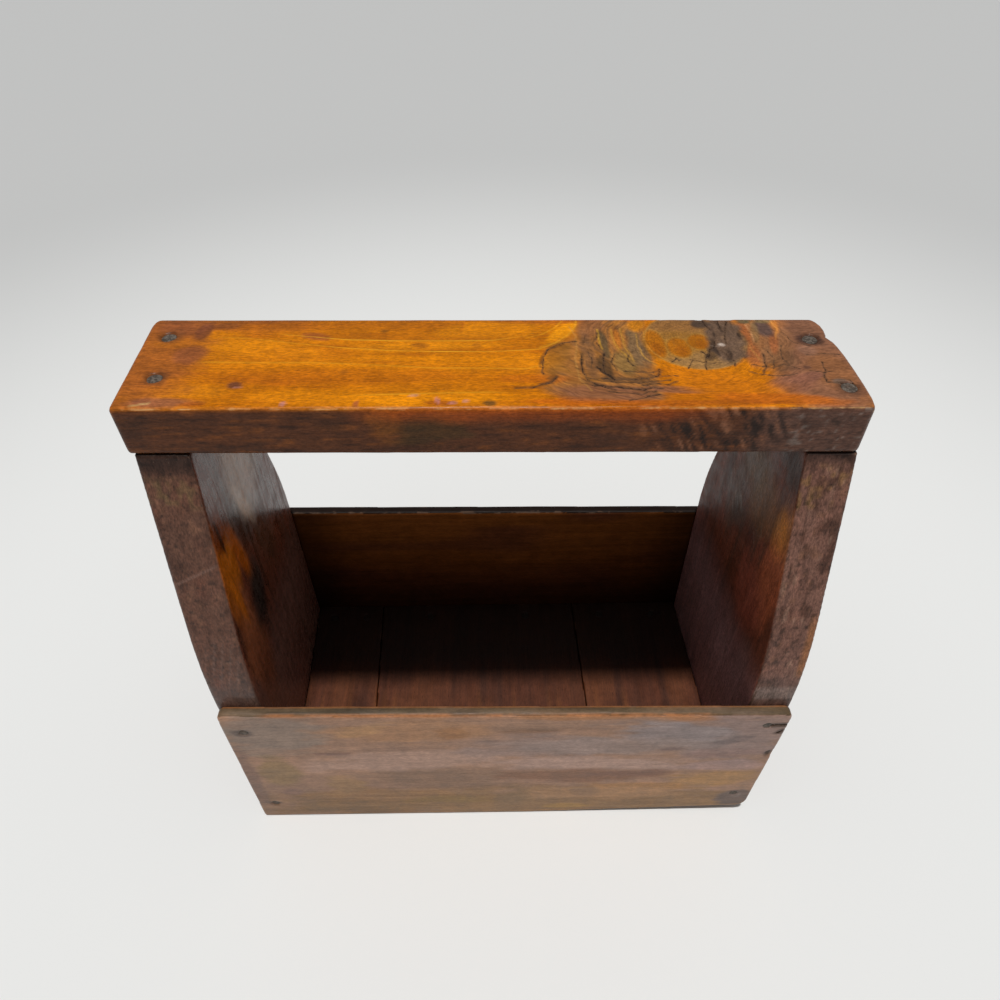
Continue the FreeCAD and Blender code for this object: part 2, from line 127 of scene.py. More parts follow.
table_mesh = bpy.data.meshes.new("table")
table_mesh.from_pydata(
    [(-4, -4, -0.0001), (4, -4, -0.0001), (4, 4, -0.0001), (-4, 4, -0.0001)], [], [(0, 1, 2, 3)])
table = put("table", table_mesh)
paper = Finish("table")
NEAR_PAPER = (0.83, 0.83, 0.81, 1)
FAR_PAPER = (0.56, 0.56, 0.55, 1)
spot = paper.add("ShaderNodeTexCoord").outputs["Object"]
away = paper.add("ShaderNodeVectorMath", {0: spot}, operation="LENGTH").outputs["Value"]
paper_shader = paper.add("ShaderNodeBsdfPrincipled", {
    "Base Color": paper.blend(paper.step(away, 0.35, 1.1), NEAR_PAPER, FAR_PAPER),
    "Roughness": 0.7, "Specular IOR Level": 0.2})
paper.add("ShaderNodeOutputMaterial", {0: paper_shader})
table_mesh.materials.append(paper.material)

LAMP_TILT = math.radians(9)
lamp_data = bpy.data.lights.new("lamp", "SUN")
lamp_data.angle = math.radians(4)
lamp_data.energy = 2.45
lamp = put("lamp", lamp_data)
lamp.location = (0, -0.25, 1.75)
lamp.rotation_euler = (LAMP_TILT, 0, 0)

world = bpy.data.worlds.new("room")
scene.world = world
world.use_nodes = True
world.node_tree.nodes.clear()
room = Finish("room", world.node_tree)
ROOM_LIGHT = 0.22
room_mix = room.add("ShaderNodeMixShader", {
    0: room.add("ShaderNodeLightPath").outputs["Is Camera Ray"],
    1: room.add("ShaderNodeBackground", {0: (0.95, 0.97, 1, 1), 1: ROOM_LIGHT}),
    2: room.add("ShaderNodeBackground", {0: FAR_PAPER, 1: 1.0})})
room.add("ShaderNodeOutputWorld", {0: room_mix})


# The end boards: two planks stood on end, sawn to a taper, stained a dark red-brown and
# varnished. The sawn front edges are rougher and scuffed, and the arrises are rubbed.
MM = 1000
RACK = math.tan(math.radians(2.5))


def uneven(places, size, seed):
    """Smooth values from -1 to 1 that rise and fall over the given size, in mm."""
    steps = places / np.asarray(size, float) + seed * 17.31
    whole = np.floor(steps)
    part = steps - whole
    part = part * part * (3 - 2 * part)
    whole = whole.astype(np.int64)
    total = np.zeros(len(places))
    for corner in range(8):
        bits = np.array([corner & 1, corner >> 1 & 1, corner >> 2])
        mixed = (whole + bits) @ np.array([73856093, 19349663, 83492791])
        mixed = (mixed ^ (mixed >> 13)) * 1274126177 & 0xFFFFFFFF
        mixed = (mixed ^ (mixed >> 15)) * 668265263 & 0xFFFFFFFF
        weight = np.where(bits, part, 1 - part).prod(axis=1)
        total += weight * (mixed / 0x7FFFFFFF - 1)
    return total


def ramp(given, start, full):
    """From 0 at start to 1 at full, with soft ends. The start may be the larger of the two."""
    part = np.clip((given - start) / (full - start), 0, 1)
    return part * part * (3 - 2 * part)


def stain(red, green, blue):
    """A colour as it looks on a screen, made linear."""
    shares = np.array([red, green, blue]) / 255
    return np.where(shares <= 0.04045, shares / 12.92, ((shares + 0.055) / 1.055) ** 2.4)


def path_distance(places, path):
    """How far each 2-D place is from a line of straight runs."""
    best = np.full(len(places), 1e9)
    for start, end in zip(path, path[1:]):
        start = np.array(start, float)
        run = np.array(end, float) - start
        along = np.clip((places - start) @ run / max(run @ run, 1e-9), 0, 1)
        gap = places - start - along[:, None] * run
        best = np.minimum(best, np.hypot(gap[:, 0], gap[:, 1]))
    return best


def blot(across, up, middle, reach, turn=0.0, wander=0.0, edge=0.35):
    """A soft-edged oval, 1 inside and 0 outside, its outline moved by the wander."""
    slant = math.radians(turn)
    dx, dy = across - middle[0], up - middle[1]
    along = (dx * math.cos(slant) + dy * math.sin(slant)) / reach[0]
    aside = (dy * math.cos(slant) - dx * math.sin(slant)) / reach[1]
    return ramp(np.hypot(along, aside) + wander, 1 + edge, 1 - edge)


def joined_up(mesh):
    """The loose triangles of a CAD mesh, joined at their corners."""
    loose = bmesh.new()
    loose.from_mesh(mesh)
    bmesh.ops.remove_doubles(loose, verts=loose.verts, dist=1e-6)
    loose.verts.index_update()
    return loose


def made_plain(holder):
    """The mesh that a thing's modifier makes of it; the thing itself is put away."""
    bpy.context.view_layer.update()
    graph = bpy.context.evaluated_depsgraph_get()
    mesh = bpy.data.meshes.new_from_object(holder.evaluated_get(graph))
    bpy.data.objects.remove(holder)
    return mesh


class Board:
    """A copy of a CAD piece in small even cells, to be worn, stained and varnished."""

    def __init__(self, node, cell, seed=0, finer=None):
        self.node = node
        self.seed = seed
        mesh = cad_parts[node].data.copy()
        rough = joined_up(mesh)
        rough.to_mesh(mesh)
        rough.free()
        blank = put(f"{node}_blank", mesh)
        remesh = blank.modifiers.new("even", "REMESH")
        remesh.mode = "VOXEL"
        remesh.voxel_size = cell / MM
        self.mesh = made_plain(blank)
        if finer:
            fine = bmesh.new()
            fine.from_mesh(self.mesh)
            cells = [face for face in fine.faces if finer(face.calc_center_median() * MM)]
            edges = {edge for face in cells for edge in face.edges}
            bmesh.ops.subdivide_edges(fine, edges=list(edges), cuts=1, use_grid_fill=True)
            fine.to_mesh(self.mesh)
            fine.free()
        self.mesh.materials.clear()
        self.mesh.name = node
        count = len(self.mesh.vertices)
        self.places, self.normals = np.empty((count, 3)), np.empty((count, 3))
        self.mesh.vertices.foreach_get("co", self.places.ravel())
        self.mesh.vertices.foreach_get("normal", self.normals.ravel())
        self.places *= MM
        self.x, self.y, self.z = self.places.T.copy()
        self.tone = np.zeros((count, 3))
        self.depth = np.zeros(count)
        self.crack = np.full(count, 9.0)
        self.low = self.places.min(axis=0)
        self.high = self.places.max(axis=0)

    def sides(self, *depths, along=""):
        """How far each place is from the nearest arris, from its depth under each face."""
        for axis in along:
            number = "xyz".index(axis)
            place = self.places[:, number]
            depths += (place - self.low[number], self.high[number] - place)
        self.arris = np.minimum(np.sort(np.abs(depths), axis=0)[1], 12)

    def uneven(self, along, deep, high, seed):
        return uneven(self.places, (along, deep, high), self.seed + seed)

    def patches(self, along, deep, high, seed, start, full):
        """Soft-edged patches of about the given size, 1 inside and 0 outside."""
        return ramp(self.uneven(along, deep, high, seed), start, full)

    def lay(self, colour, amount):
        """Brush on a colour, as strongly as the amount says."""
        amount = np.clip(amount, 0, 1).reshape(-1, 1)
        self.tone = self.tone * (1 - amount) + stain(*colour) * amount

    def lay_ovals(self, ovals, across, up, wander, edge=0.35, where=1.0):
        """Brush on ovals, each with its red, green, blue, middle, reach, strength and turn."""
        for red, green, blue, right, high, long, tall, strength, *turn in ovals:
            oval = blot(across, up, (right, high), (long, tall), sum(turn), wander, edge)
            self.lay((red, green, blue), oval * strength * where)

    def shade(self, factor):
        self.tone *= np.asarray(factor).reshape(len(self.tone), -1)

    def split(self, across, up, path, width, depth, where):
        """Carve a crack along a line on a face and keep how far each place is from it."""
        gap = np.where(where, path_distance(np.column_stack([across, up]), path) / width, 9)
        self.crack = np.minimum(self.crack, gap)
        self.depth += depth * np.clip(1 - gap, 0, 1)

    def round_off(self, depth, width):
        """Wear the arrises down, and the faces for a little way beside them."""
        self.depth += depth * np.clip(1 - self.arris / width, 0, 1) ** 2

    def finish(self, material, slot, extra=()):
        worn = self.places - self.normals * self.depth[:, None]
        self.mesh.vertices.foreach_set("co", (worn / MM).ravel())
        tone = self.mesh.color_attributes.new("tone", "FLOAT_COLOR", "POINT")
        shown = np.column_stack([np.clip(self.tone, 0.0005, 1), np.ones(len(self.tone))])
        tone.data.foreach_set("color", shown.ravel())
        fields = {"arris": self.arris, "crack": self.crack, **dict(extra)}
        for name, values in fields.items():
            field = self.mesh.attributes.new(name, "FLOAT", "POINT")
            field.data.foreach_set("value", np.asarray(values, float))
        self.mesh.polygons.foreach_set("use_smooth", [True] * len(self.mesh.polygons))
        self.mesh.materials.append(material)
        self.mesh.update()
        piece = put(f"{self.node}_worn", self.mesh)
        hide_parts(self.node)
        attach(piece, "root")


def varnished(name, grain, rubbed_and_highlight, shine, gleam, fibre, grit=0.15, pores=0.5, matt=0.0,
              rub_and_highlight_width=1.6, rag=1.0, flecks=0.0, knotty=False):
    """Stained wood under varnish, its grain running along x, y or z."""
    wood = Finish(name)
    places = wood.add("ShaderNodeTexCoord").outputs["Object"]

    def field(name, output="Fac"):
        return wood.add("ShaderNodeAttribute", attribute_name=name).outputs[output]

    if knotty:
        knot, flow = field("knot"), field("flow", "Vector")

    def fibres(length, width, detail, rough=0.55):
        sizes = [MM / length if letter == grain else MM / width for letter in "xyz"]
        straight = wood.cloud(wood.stretched(places, sizes), detail, rough)
        if not knotty:
            return straight
        curled = wood.stretched(flow, (22 / length, 22 / length, 1 / width))
        return wood.add(
            "ShaderNodeMix", {0: knot, 2: straight, 3: wood.cloud(curled, detail, rough)})

    broad = fibres(60, 3.4, 3.0)
    fine = fibres(14, 0.5, 4.0, 0.65)
    grains = fibres(2.4, 0.8, 2.0, 0.7)
    mottle = wood.cloud(places, 4.0, 0.6, 120)
    pore = wood.step(fibres(4, 0.5, 2.0), 0.62, 0.72, 0, pores)
    grainy = wood.times(
        wood.step(broad, 0.25, 0.75, 1 - 0.4 * fibre, 1 + 0.32 * fibre),
        wood.step(fine, 0.25, 0.75, 1 - 0.5 * fibre, 1 + 0.4 * fibre),
        wood.step(grains, 0.3, 0.7, 1 - grit, 1 + grit),
        wood.step(mottle, 0.3, 0.7, 0.88, 1.12),
        wood.maths("SUBTRACT", 1.0, pore))
    lit = wood.add("ShaderNodeCombineColor", {0: grainy, 1: grainy, 2: grainy})
    colour = wood.blend(1.0, field("tone", "Color"), lit.outputs[0], "MULTIPLY")

    def over(amount, strength, shade):
        return wood.blend(wood.times(amount, strength), colour, (*shade, 1))

    # growth lines: each season darkens slowly and ends in a thin bright line
    if knotty:
        glow = field("glow")
        part = wood.maths("FRACT", field("season"))
        colour = over(wood.step(part, 0.0, 0.5, 0.62, 0), glow, (0.33, 0.09, 0.003))
        beside = wood.maths("ABSOLUTE", wood.maths("SUBTRACT", part, 0.5))
        colour = over(wood.step(beside, 0.455, 0.49, 0, 0.7), glow, (1.0, 0.52, 0.03))

    # rubbed arrises (and on the handle a painted highlight along its front arris), pale flecks, and
    # cracks with dirt round them
    ragged = wood.maths(
        "ADD", field("arris"), wood.step(fine, 0.3, 0.7, -0.7 * rag, 0.7 * rag),
        wood.step(mottle, 0.35, 0.65, 1.2 * rag, -0.6 * rag))
    rub_and_highlight_mask = wood.step(ragged, 0.3 * rub_and_highlight_width, rub_and_highlight_width, 1, 0)
    colour = over(rub_and_highlight_mask, 0.85, rubbed_and_highlight)
    if flecks:
        speck = wood.cloud(wood.stretched(places, (1500, 1500, 700)), 2.0, 0.7)
        colour = over(wood.step(speck, 0.68, 0.76), flecks, (0.42, 0.3, 0.2))
    torn = wood.maths(
        "ADD", field("crack"), wood.step(grains, 0.2, 0.8, -0.6, 0.6),
        wood.step(mottle, 0.4, 0.55, 0.35, 0))
    colour = over(wood.step(torn, 0.9, 4.0, 1, 0), 0.6, (0.09, 0.048, 0.026))
    open_crack = wood.step(torn, 0.3, 1.0, 1, 0)
    colour = over(open_crack, 0.8, (0.026, 0.015, 0.01))

    gloss = wood.maths(
        "ADD", wood.step(mottle, 0.3, 0.7, *shine), wood.step(broad, 0.5, 0.68, 0, matt),
        wood.times(rub_and_highlight_mask, 0.15), wood.times(open_crack, 0.4),
        wood.step(fine, 0.3, 0.7, 0.04, -0.04))
    height = wood.maths("ADD", wood.times(broad, 0.6), wood.times(fine, 0.3))
    height = wood.maths("SUBTRACT", height, wood.times(pore, 0.5), open_crack)
    bump = wood.add("ShaderNodeBump", {"Height": height, "Strength": 1.0, "Distance": 0.0002})
    shader = wood.add("ShaderNodeBsdfPrincipled", {
        "Base Color": colour, "Roughness": gloss, "Normal": bump, "IOR": 1.5,
        "Specular IOR Level": gleam})
    wood.add("ShaderNodeOutputMaterial", {0: shader})
    return wood.material


left_end_finish = varnished(
    "left_end_varnish", "z", rubbed_and_highlight=(0.11, 0.06, 0.04), shine=(0.18, 0.34), gleam=0.21,
    fibre=0.35, grit=0.3, matt=0.16, rub_and_highlight_width=0.8, flecks=0.3)
right_end_finish = varnished(
    "right_end_varnish", "z", rubbed_and_highlight=(0.11, 0.06, 0.04), shine=(0.42, 0.58), gleam=0.15,
    fibre=0.4, grit=0.3, rub_and_highlight_width=0.8, flecks=0.4)
DARK_BROWN = (84, 50, 36)
RED_BROWN = (122, 62, 42)
LEFT, RIGHT = 1, -1
# each oval's red, green and blue, middle, reach, strength, and turn if it has one
LEFT_OVALS = [
    (196, 104, 18, -38, 203, 11, 19, 0.95, 4), (176, 94, 30, -46, 182, 7, 26, 0.9, 8),
    (160, 92, 58, -42, 140, 14, 36, 0.85), (176, 86, 14, -23, 191, 5, 22, 0.95, 12),
    (116, 52, 20, -37, 219, 7, 9, 0.9), (92, 60, 40, -6, 222, 9, 26, 0.7, 8),
    (60, 38, 28, -8, 202, 10, 22, 0.85, 14), (50, 44, 40, -20, 158, 11, 20, 0.85, -14),
    (84, 56, 38, 14, 172, 14, 30, 0.6, 10), (104, 58, 30, 10, 234, 4, 20, 0.7),
    (200, 106, 22, -43, 186, 3.4, 20, 0.85, 6), (34, 22, 16, -36.5, 216, 1.6, 12, 0.8, 2),
    # the last two ovals are painted sheen: pale patches for the varnish reflecting the bright table
    (196, 164, 140, -1, 205, 4, 17, 0.7, 22), (184, 146, 118, 8, 218, 20, 26, 0.6, 14),
]
RIGHT_OVALS = [
    (160, 104, 64, -44, 218, 11, 17, 0.85, -8), (196, 122, 50, -36, 212, 7, 13, 0.85, -8),
    (166, 88, 56, -42, 184, 13, 26, 0.8), (142, 72, 54, -26, 158, 18, 20, 0.7),
    (126, 86, 54, -14, 212, 15, 18, 0.7, 20), (112, 88, 66, 8, 222, 18, 14, 0.7, 10),
    (90, 64, 50, 18, 190, 12, 24, 0.7), (72, 52, 42, 8, 182, 7, 9, 0.7),
    (60, 44, 38, -22, 250, 26, 8, 0.7, 20),
]


for node, side, finish, seed, scuffed, low_down, ovals in (
        ("left_end_board", LEFT, left_end_finish, 3, (104, 71, 56), (160, 114, 98), LEFT_OVALS),
        ("right_end_board", RIGHT, right_end_finish, 8, (131, 94, 80), (174, 132, 130),
         RIGHT_OVALS)):
    board = Board(node, 1.0, seed)
    x, y, z = board.x, board.y, board.z
    reach = RACK * board.high[1]
    outer = x + RACK * y - (board.low[0] + reach)
    inner = (board.high[0] - reach) - (x + RACK * y)
    levels = np.arange(0, board.high[2] + 2, 2)
    half = [
        np.array([(facing * y[np.abs(z - level) < 2]).max(initial=0) for level in levels])
        for facing in (1, -1)]
    edge = np.where(y > 0, np.interp(z, levels, half[0]) - y, np.interp(z, levels, half[1]) + y)
    board.sides(outer, inner, edge)
    on_inside = (board.normals[:, 0] * side > 0.6) * ramp(edge, 0.8, 2.6)
    on_edge = np.abs(board.normals[:, 1]) > 0.3
    front_edge = on_edge * (y < 0)
    streaks = board.uneven(4, 5, 70, 0) + 0.6 * board.uneven(3, 1.7, 40, 1)
    wander = 0.25 * board.uneven(8, 6, 22, 2) + 0.12 * board.uneven(3, 2, 7, 3)
    # the stain, darker in bands along the grain
    board.lay(DARK_BROWN, 1)
    board.lay(RED_BROWN, 0.5 + 0.5 * streaks)
    board.lay((60, 34, 28), 0.7 * board.patches(9, 14, 60, 4, 0.1, 0.8))
    # the sawn edges, rough and scuffed to a dull pinkish brown
    board.lay(scuffed, on_edge * (0.85 + 0.15 * board.uneven(6, 6, 12, 5)))
    board.lay((78, 50, 38), on_edge * 0.75 * board.patches(2.4, 3, 8, 6, 0, 0.7))
    board.lay((132, 92, 70), on_edge * 0.6 * board.patches(2, 3, 5, 7, 0.3, 0.9))
    board.lay((50, 36, 30), on_edge * 0.7 * board.patches(1.5, 2, 2.2, 11, 0.35, 0.8))
    board.lay((96, 78, 72), on_edge * 0.6 * ramp(z, 150, 120))
    # painted shadow: the top of each front edge is darkened just under the handle
    board.lay((40, 28, 24), front_edge * 0.8 * ramp(z, 252, 261))
    # painted shade: the top faces, which lie under the handle, are darkened
    board.lay((40, 28, 22), ramp(board.normals[:, 2], 0.5, 0.8) * 0.95)
    board.lay(low_down, on_inside * 0.8 * ramp(z, 150, 100))
    if side == LEFT:
        board.lay((116, 92, 60), front_edge * 0.5 * ramp(z, 236, 244) * ramp(z, 257, 252)
                  * board.patches(2, 3, 3, 16, -0.2, 0.5))
    board.lay_ovals(ovals, y, z, wander, 0.45, on_inside)
    if side == LEFT:
        # a faint saw mark runs across the front edge, with scratches under it
        mark = path_distance(np.column_stack([x, z]), [(-152, 199), (-141, 204), (-126, 211)])
        board.lay((140, 106, 92), front_edge * 0.6 * np.clip(1 - mark / 1.1, 0, 1))
        slashes = np.abs((x - 0.25 * z) % 4 - 2)
        board.lay((138, 108, 96), front_edge * 0.45 * np.clip(1 - slashes / 0.6, 0, 1)
                  * blot(x, z, (-134, 152), (9, 16)))
    else:
        dashes = board.uneven(1.3, 3, 7, 14) + 0.5 * board.uneven(1, 3, 3, 15)
        board.lay((60, 42, 36), front_edge * 0.5 * ramp(dashes, 0.3, 0.8))
        board.lay((158, 124, 104), front_edge * 0.45 * ramp(dashes, -0.45, -0.95))
        board.lay((150, 112, 66), front_edge * 0.5 * ramp(z, 232, 238) * ramp(z, 258, 252)
                  * board.patches(2, 3, 3, 16, 0, 0.6))
        board.lay((156, 102, 62), front_edge * 0.75 * ramp(inner, 5.5, 3)
                  * ramp(z, 134, 144) * ramp(z, 182, 170))
        board.lay((150, 130, 120), front_edge * 0.5 * ramp(z, 118, 121) * ramp(z, 132, 127))
        scratched = np.column_stack([x, y - 0.7 * z, z])
        scratches = uneven(scratched, (3, 1.3, 12), seed + 12)
        scratches += 0.6 * uneven(scratched, (3, 0.8, 5), seed + 13)
        board.lay((150, 134, 118), on_inside * 0.5 * ramp(scratches, 0.5, 1.1)
                  * blot(y, z, (6, 206), (30, 32), 0, wander))
    # a hand plane left the faces a little hollow, and the arrises have gone round
    board.depth += 0.05 * (1 + board.uneven(30, 18, 60, 8))
    board.depth += on_edge * 0.08 * (1 + board.uneven(3, 3, 4, 9))
    worn = 0.5 + 0.5 * board.uneven(10, 10, 16, 10)
    board.round_off(0.05 + 0.25 * worn, 2.2)
    board.finish(finish, "end_wood")


# The side boards: thin boards across the edges of the ends. The front one is grey along the top,
# partly a milky bloom in its varnish and partly painted sheen for the gloss reflecting the pale
# table, and olive brown below, with a split at its right-hand nail.
front_finish = varnished(
    "front_board_varnish", "x", rubbed_and_highlight=(0.2, 0.12, 0.08), shine=(0.36, 0.5), gleam=0.14,
    fibre=0.28, grit=0.12, pores=0.2, rub_and_highlight_width=0.2)


def make_side_board(node):
    board = Board(node, 1.0)
    tops = [board.z[np.abs(board.x - end) < 3].max() for end in (-120, 120)]
    level = np.interp(board.x, (-120, 120), tops)
    level += (tops[1] - tops[0]) / 240 * (board.x - np.clip(board.x, -120, 120))
    board.under_top = level - board.z
    board.sides(board.under_top, board.z, along="xy")
    return board


front = make_side_board("front_board")
x, y, z = front.x, front.y, front.z
outside = front.normals[:, 1] < -0.5
top_edge = front.normals[:, 2] > 0.5
wander = 0.3 * front.uneven(22, 9, 7, 22) + 0.24 * front.uneven(8, 9, 2.4, 23)
front.lay((168, 130, 106), 1)
# the pale grey ovals high on the face: partly a milky bloom in the varnish, partly painted sheen
FRONT_OVALS = [
    (148, 114, 80, 0, 14, 170, 22, 0.95), (168, 126, 88, -70, 27, 46, 9, 0.8, 2),
    (148, 116, 94, -40, 49, 42, 13, 0.95, -3), (183, 147, 128, -46, 71, 64, 11, 0.95, 4),
    (184, 150, 134, 52, 64, 56, 9, 0.95, -4), (152, 130, 115, -120, 101, 32, 19, 0.95, 6),
    (177, 132, 98, -42, 103, 46, 12, 0.95, 3), (190, 144, 100, -70, 106, 16, 6, 0.7, 24),
    (162, 114, 74, -26, 100, 9, 6, 0.65), (165, 128, 104, 22, 105, 26, 10, 0.9),
    (140, 104, 80, 16, 101, 14, 2, 0.7), (140, 108, 90, 22, 94, 12, 2, 0.6),
    (150, 116, 96, -58, 84, 24, 2.4, 0.7, 3), (134, 100, 86, -92, 79.5, 10, 1.8, 0.7),
    (152, 128, 120, 126, 92, 30, 26, 0.85), (154, 130, 121, 18, 84, 44, 12, 0.6),
    (154, 138, 134, 94, 96, 34, 12, 0.9, -8), (162, 139, 129, 60, 84, 56, 9, 0.8, -3),
    (180, 128, 88, 40, 115, 30, 2.6, 0.7), (180, 124, 82, 96, 113, 16, 3, 0.7, -6),
    (144, 105, 82, 50, 49, 46, 8, 0.9), (128, 96, 84, 72, 51, 22, 4, 0.6),
    (178, 134, 86, 122, 42, 28, 11, 0.85, 3), (178, 128, 78, 82, 34, 32, 6, 0.7),
    (154, 124, 88, -127, 58, 11, 16, 0.85), (170, 132, 94, -91, 41, 12, 12, 0.8, 10),
    (140, 110, 95, -144, 48, 5, 38, 0.9), (142, 110, 98, -124, 34, 7, 5, 0.7),
    (146, 116, 86, 12, 22, 14, 8, 0.7), (176, 134, 98, 58, 26, 44, 8, 0.8),
    (142, 112, 88, 50, 27, 8, 6, 0.6), (172, 132, 76, 38, 9, 14, 3, 0.7),
    (150, 120, 72, -30, 20, 26, 5, 0.5), (176, 144, 136, 126, 60, 24, 6, 0.7),
    (124, 106, 101, 128, 89, 11, 4, 0.7, 22), (138, 112, 104, 94, 79.5, 9, 2.2, 0.75, 6),
    (150, 118, 108, 124, 74, 20, 5, 0.6), (112, 95, 88, 142, 19, 9, 11, 0.9, -20),
    (136, 120, 112, 142, 21.5, 3, 3, 0.6), (96, 82, 76, -136, 103.5, 5.5, 3.4, 0.75),
    (112, 92, 82, -138, 17.5, 5.5, 3.8, 0.7), (92, 78, 70, 147, 104.3, 8, 2.6, 0.85),
    (96, 80, 74, 151, 98, 3, 3, 0.8),
]
front.lay_ovals(FRONT_OVALS, x, z, wander, 0.32)
grain = front.uneven(46, 9, 2.6, 20) + 0.7 * front.uneven(22, 9, 1.4, 21)
front.shade(1 + 0.13 * grain * front.patches(60, 9, 30, 19, -0.4, 0.5))
front.shade(1 - 0.16 * blot(x, z, (-96, 18), (66, 26), 0, 0.5 * wander, 0.6))
# the top edge is dark with dirt, and both of its arrises are rubbed to bright wood
dull = front.patches(22, 9, 9, 26, -0.5, 0.3)
front.lay((96, 78, 57), (front.under_top < 2.5) * top_edge * (0.8 + 0.2 * dull))
front.lay((72, 60, 46), top_edge * 0.7 * front.patches(30, 2.4, 9, 18, -0.1, 0.5))
bright = ramp(front.uneven(16, 9, 9, 17) + 0.6 * front.uneven(3, 2, 2, 16), -0.75, 0.2)
bright = np.maximum(bright, 0.4) * ramp(x, -128, -114) * ramp(x, 120, 104)
gap = np.hypot(np.clip(front.y - front.low[1], 0, None), front.under_top)
front.lay((196, 126, 78), bright * np.clip(1.3 - gap / 1.9, 0, 1) * 0.7)
gap = np.hypot(front.high[1] - front.y, front.under_top)
front.lay((196, 118, 60), np.clip(1.2 - gap / 1.3, 0, 1) * 0.7)
front.lay((110, 66, 40), (front.normals[:, 1] > 0.5) * (front.under_top > 2) * 0.9)
front.depth += 0.04 * (1 + front.uneven(60, 9, 12, 27)) * (np.abs(front.normals[:, 1]) > 0.5)
front.depth += top_edge * 0.15 * (1 + front.uneven(14, 3, 9, 28))
front.round_off(0.2 * (1 + 0.8 * front.uneven(12, 6, 8, 29)), 1.8)
gap = np.clip(front.y - front.low[1], 0, None) + np.clip(front.under_top, 0, None)
front.depth += 0.8 * np.clip(1 - gap / 3.6, 0, 1) * (0.8 + 0.3 * front.uneven(10, 9, 9, 15))
front.depth += outside * 1.5 * blot(x, z, (151, 73), (3.5, 3.5))
front.lay((60, 50, 44), outside * blot(x, z, (149.5, 73), (3, 3.5)) * 0.8)
front.split(x, z, [(143, 104), (147, 104.4), (154, 104.2)], 0.8, 0.6, outside)
front.split(x, z, [(148, 96), (150.5, 98.5), (154, 100)], 0.7, 0.5, outside)
front.finish(front_finish, "side_wood")

back_finish = varnished(
    "back_board_varnish", "x", rubbed_and_highlight=(0.1, 0.06, 0.04), shine=(0.4, 0.55), gleam=0.08,
    fibre=0.35, grit=0.12, pores=0.3, rub_and_highlight_width=1.0)
back = make_side_board("back_board")
inside = back.normals[:, 1] < -0.5
back.lay((112, 66, 44), 1)
back.lay((112, 62, 20), inside * 0.85)
back.lay((84, 46, 32), back.patches(60, 9, 14, 32, 0, 0.8) * 0.7)
back.lay((150, 96, 58), back.patches(50, 9, 8, 33, 0.3, 0.9) * 0.6 * ~inside)
grain = back.uneven(70, 9, 3.2, 30) + 0.7 * back.uneven(28, 9, 1.6, 31)
back.shade(1 + 0.14 * grain)
# painted shade: the inside face is darkened towards the bottom, deep in the box
back.lay((66, 38, 26), inside * ramp(back.under_top, 40, 90) * 0.8)
back.shade(1 - 0.3 * inside * ramp(back.x, 30, 110))
# painted shade: the inside face is darkened at both ends, in the corners by the end boards
back.shade(1 - 0.6 * inside * ramp(np.abs(back.x), 92, 126))
back.lay((24, 18, 15), (back.normals[:, 2] > 0.4) * 0.97)
back.depth += 0.04 * (1 + back.uneven(60, 9, 12, 34)) * (np.abs(back.normals[:, 1]) > 0.5)
back.round_off(0.2 * (1 + 0.8 * back.uneven(12, 6, 8, 35)), 1.8)
back.finish(back_finish, "side_wood")


# The floor: three short boards with their grain front to back on two plain strips, stained
# a warm red-brown and never handled much.
floor_finish = varnished(
    "floor_board_varnish", "y", rubbed_and_highlight=(0.1, 0.05, 0.03), shine=(0.45, 0.6), gleam=0.25,
    fibre=0.4, grit=0.12, rub_and_highlight_width=0.1)
bearer_finish = varnished(
    "bearer_wood", "x", rubbed_and_highlight=(0.2, 0.12, 0.07), shine=(0.6, 0.8), gleam=0.3, fibre=0.6)
GOLDEN_STREAKS = [
    (-116, 1.5), (-98, 2), (-81, 2), (-76, 2.5), (-69, 2), (-14, 1.8), (8, 1.2), (31, 2.5),
    (37, 3), (62, 1.8), (80, 2.2)]
for number, node in enumerate(("left_floor_board", "middle_floor_board", "right_floor_board")):
    board = Board(node, 0.9, 40 + 4 * number)
    run = board.x + RACK * board.y
    board.sides(run - run.min(), run.max() - run, along="yz")
    board.lay((84, 44, 26), 1)
    board.lay((104, 58, 32), board.patches(14, 60, 9, 0, -0.2, 0.6) * 0.7)
    board.lay((58, 32, 22), board.patches(6, 60, 9, 1, 0.1, 0.8) * 0.6)
    for streak, wide in GOLDEN_STREAKS:
        aside = np.abs(run - streak + 0.8 * board.uneven(9, 14, 9, 3)) / wide
        board.lay((128, 76, 32), np.clip(1.2 - aside, 0, 1) * 0.5 * ramp(board.y, 4, -40))
    board.shade(1 + 0.12 * uneven(board.places, (1.6, 26, 9), 58))
    # painted shade: the floor is darkened towards the back, where the handle's shadow lies
    board.lay((40, 26, 20), ramp(board.y, -6, 24) * 0.85)
    board.depth += 0.04 * (1 + board.uneven(8, 40, 9, 2))
    board.finish(floor_finish, "floor_wood")
for number, node in enumerate(("front_bearer", "back_bearer")):
    board = Board(node, 1.2, number)
    board.sides(along="xyz")
    board.lay((140, 100, 70), 1)
    board.lay((100, 66, 46), board.patches(60, 6, 6, 52, 0, 0.8) * 0.7)
    board.depth += 0.04 * (1 + board.uneven(30, 5, 5, 54))
    board.round_off(0.15, 1.5)
    board.finish(bearer_finish, "bearer_wood")


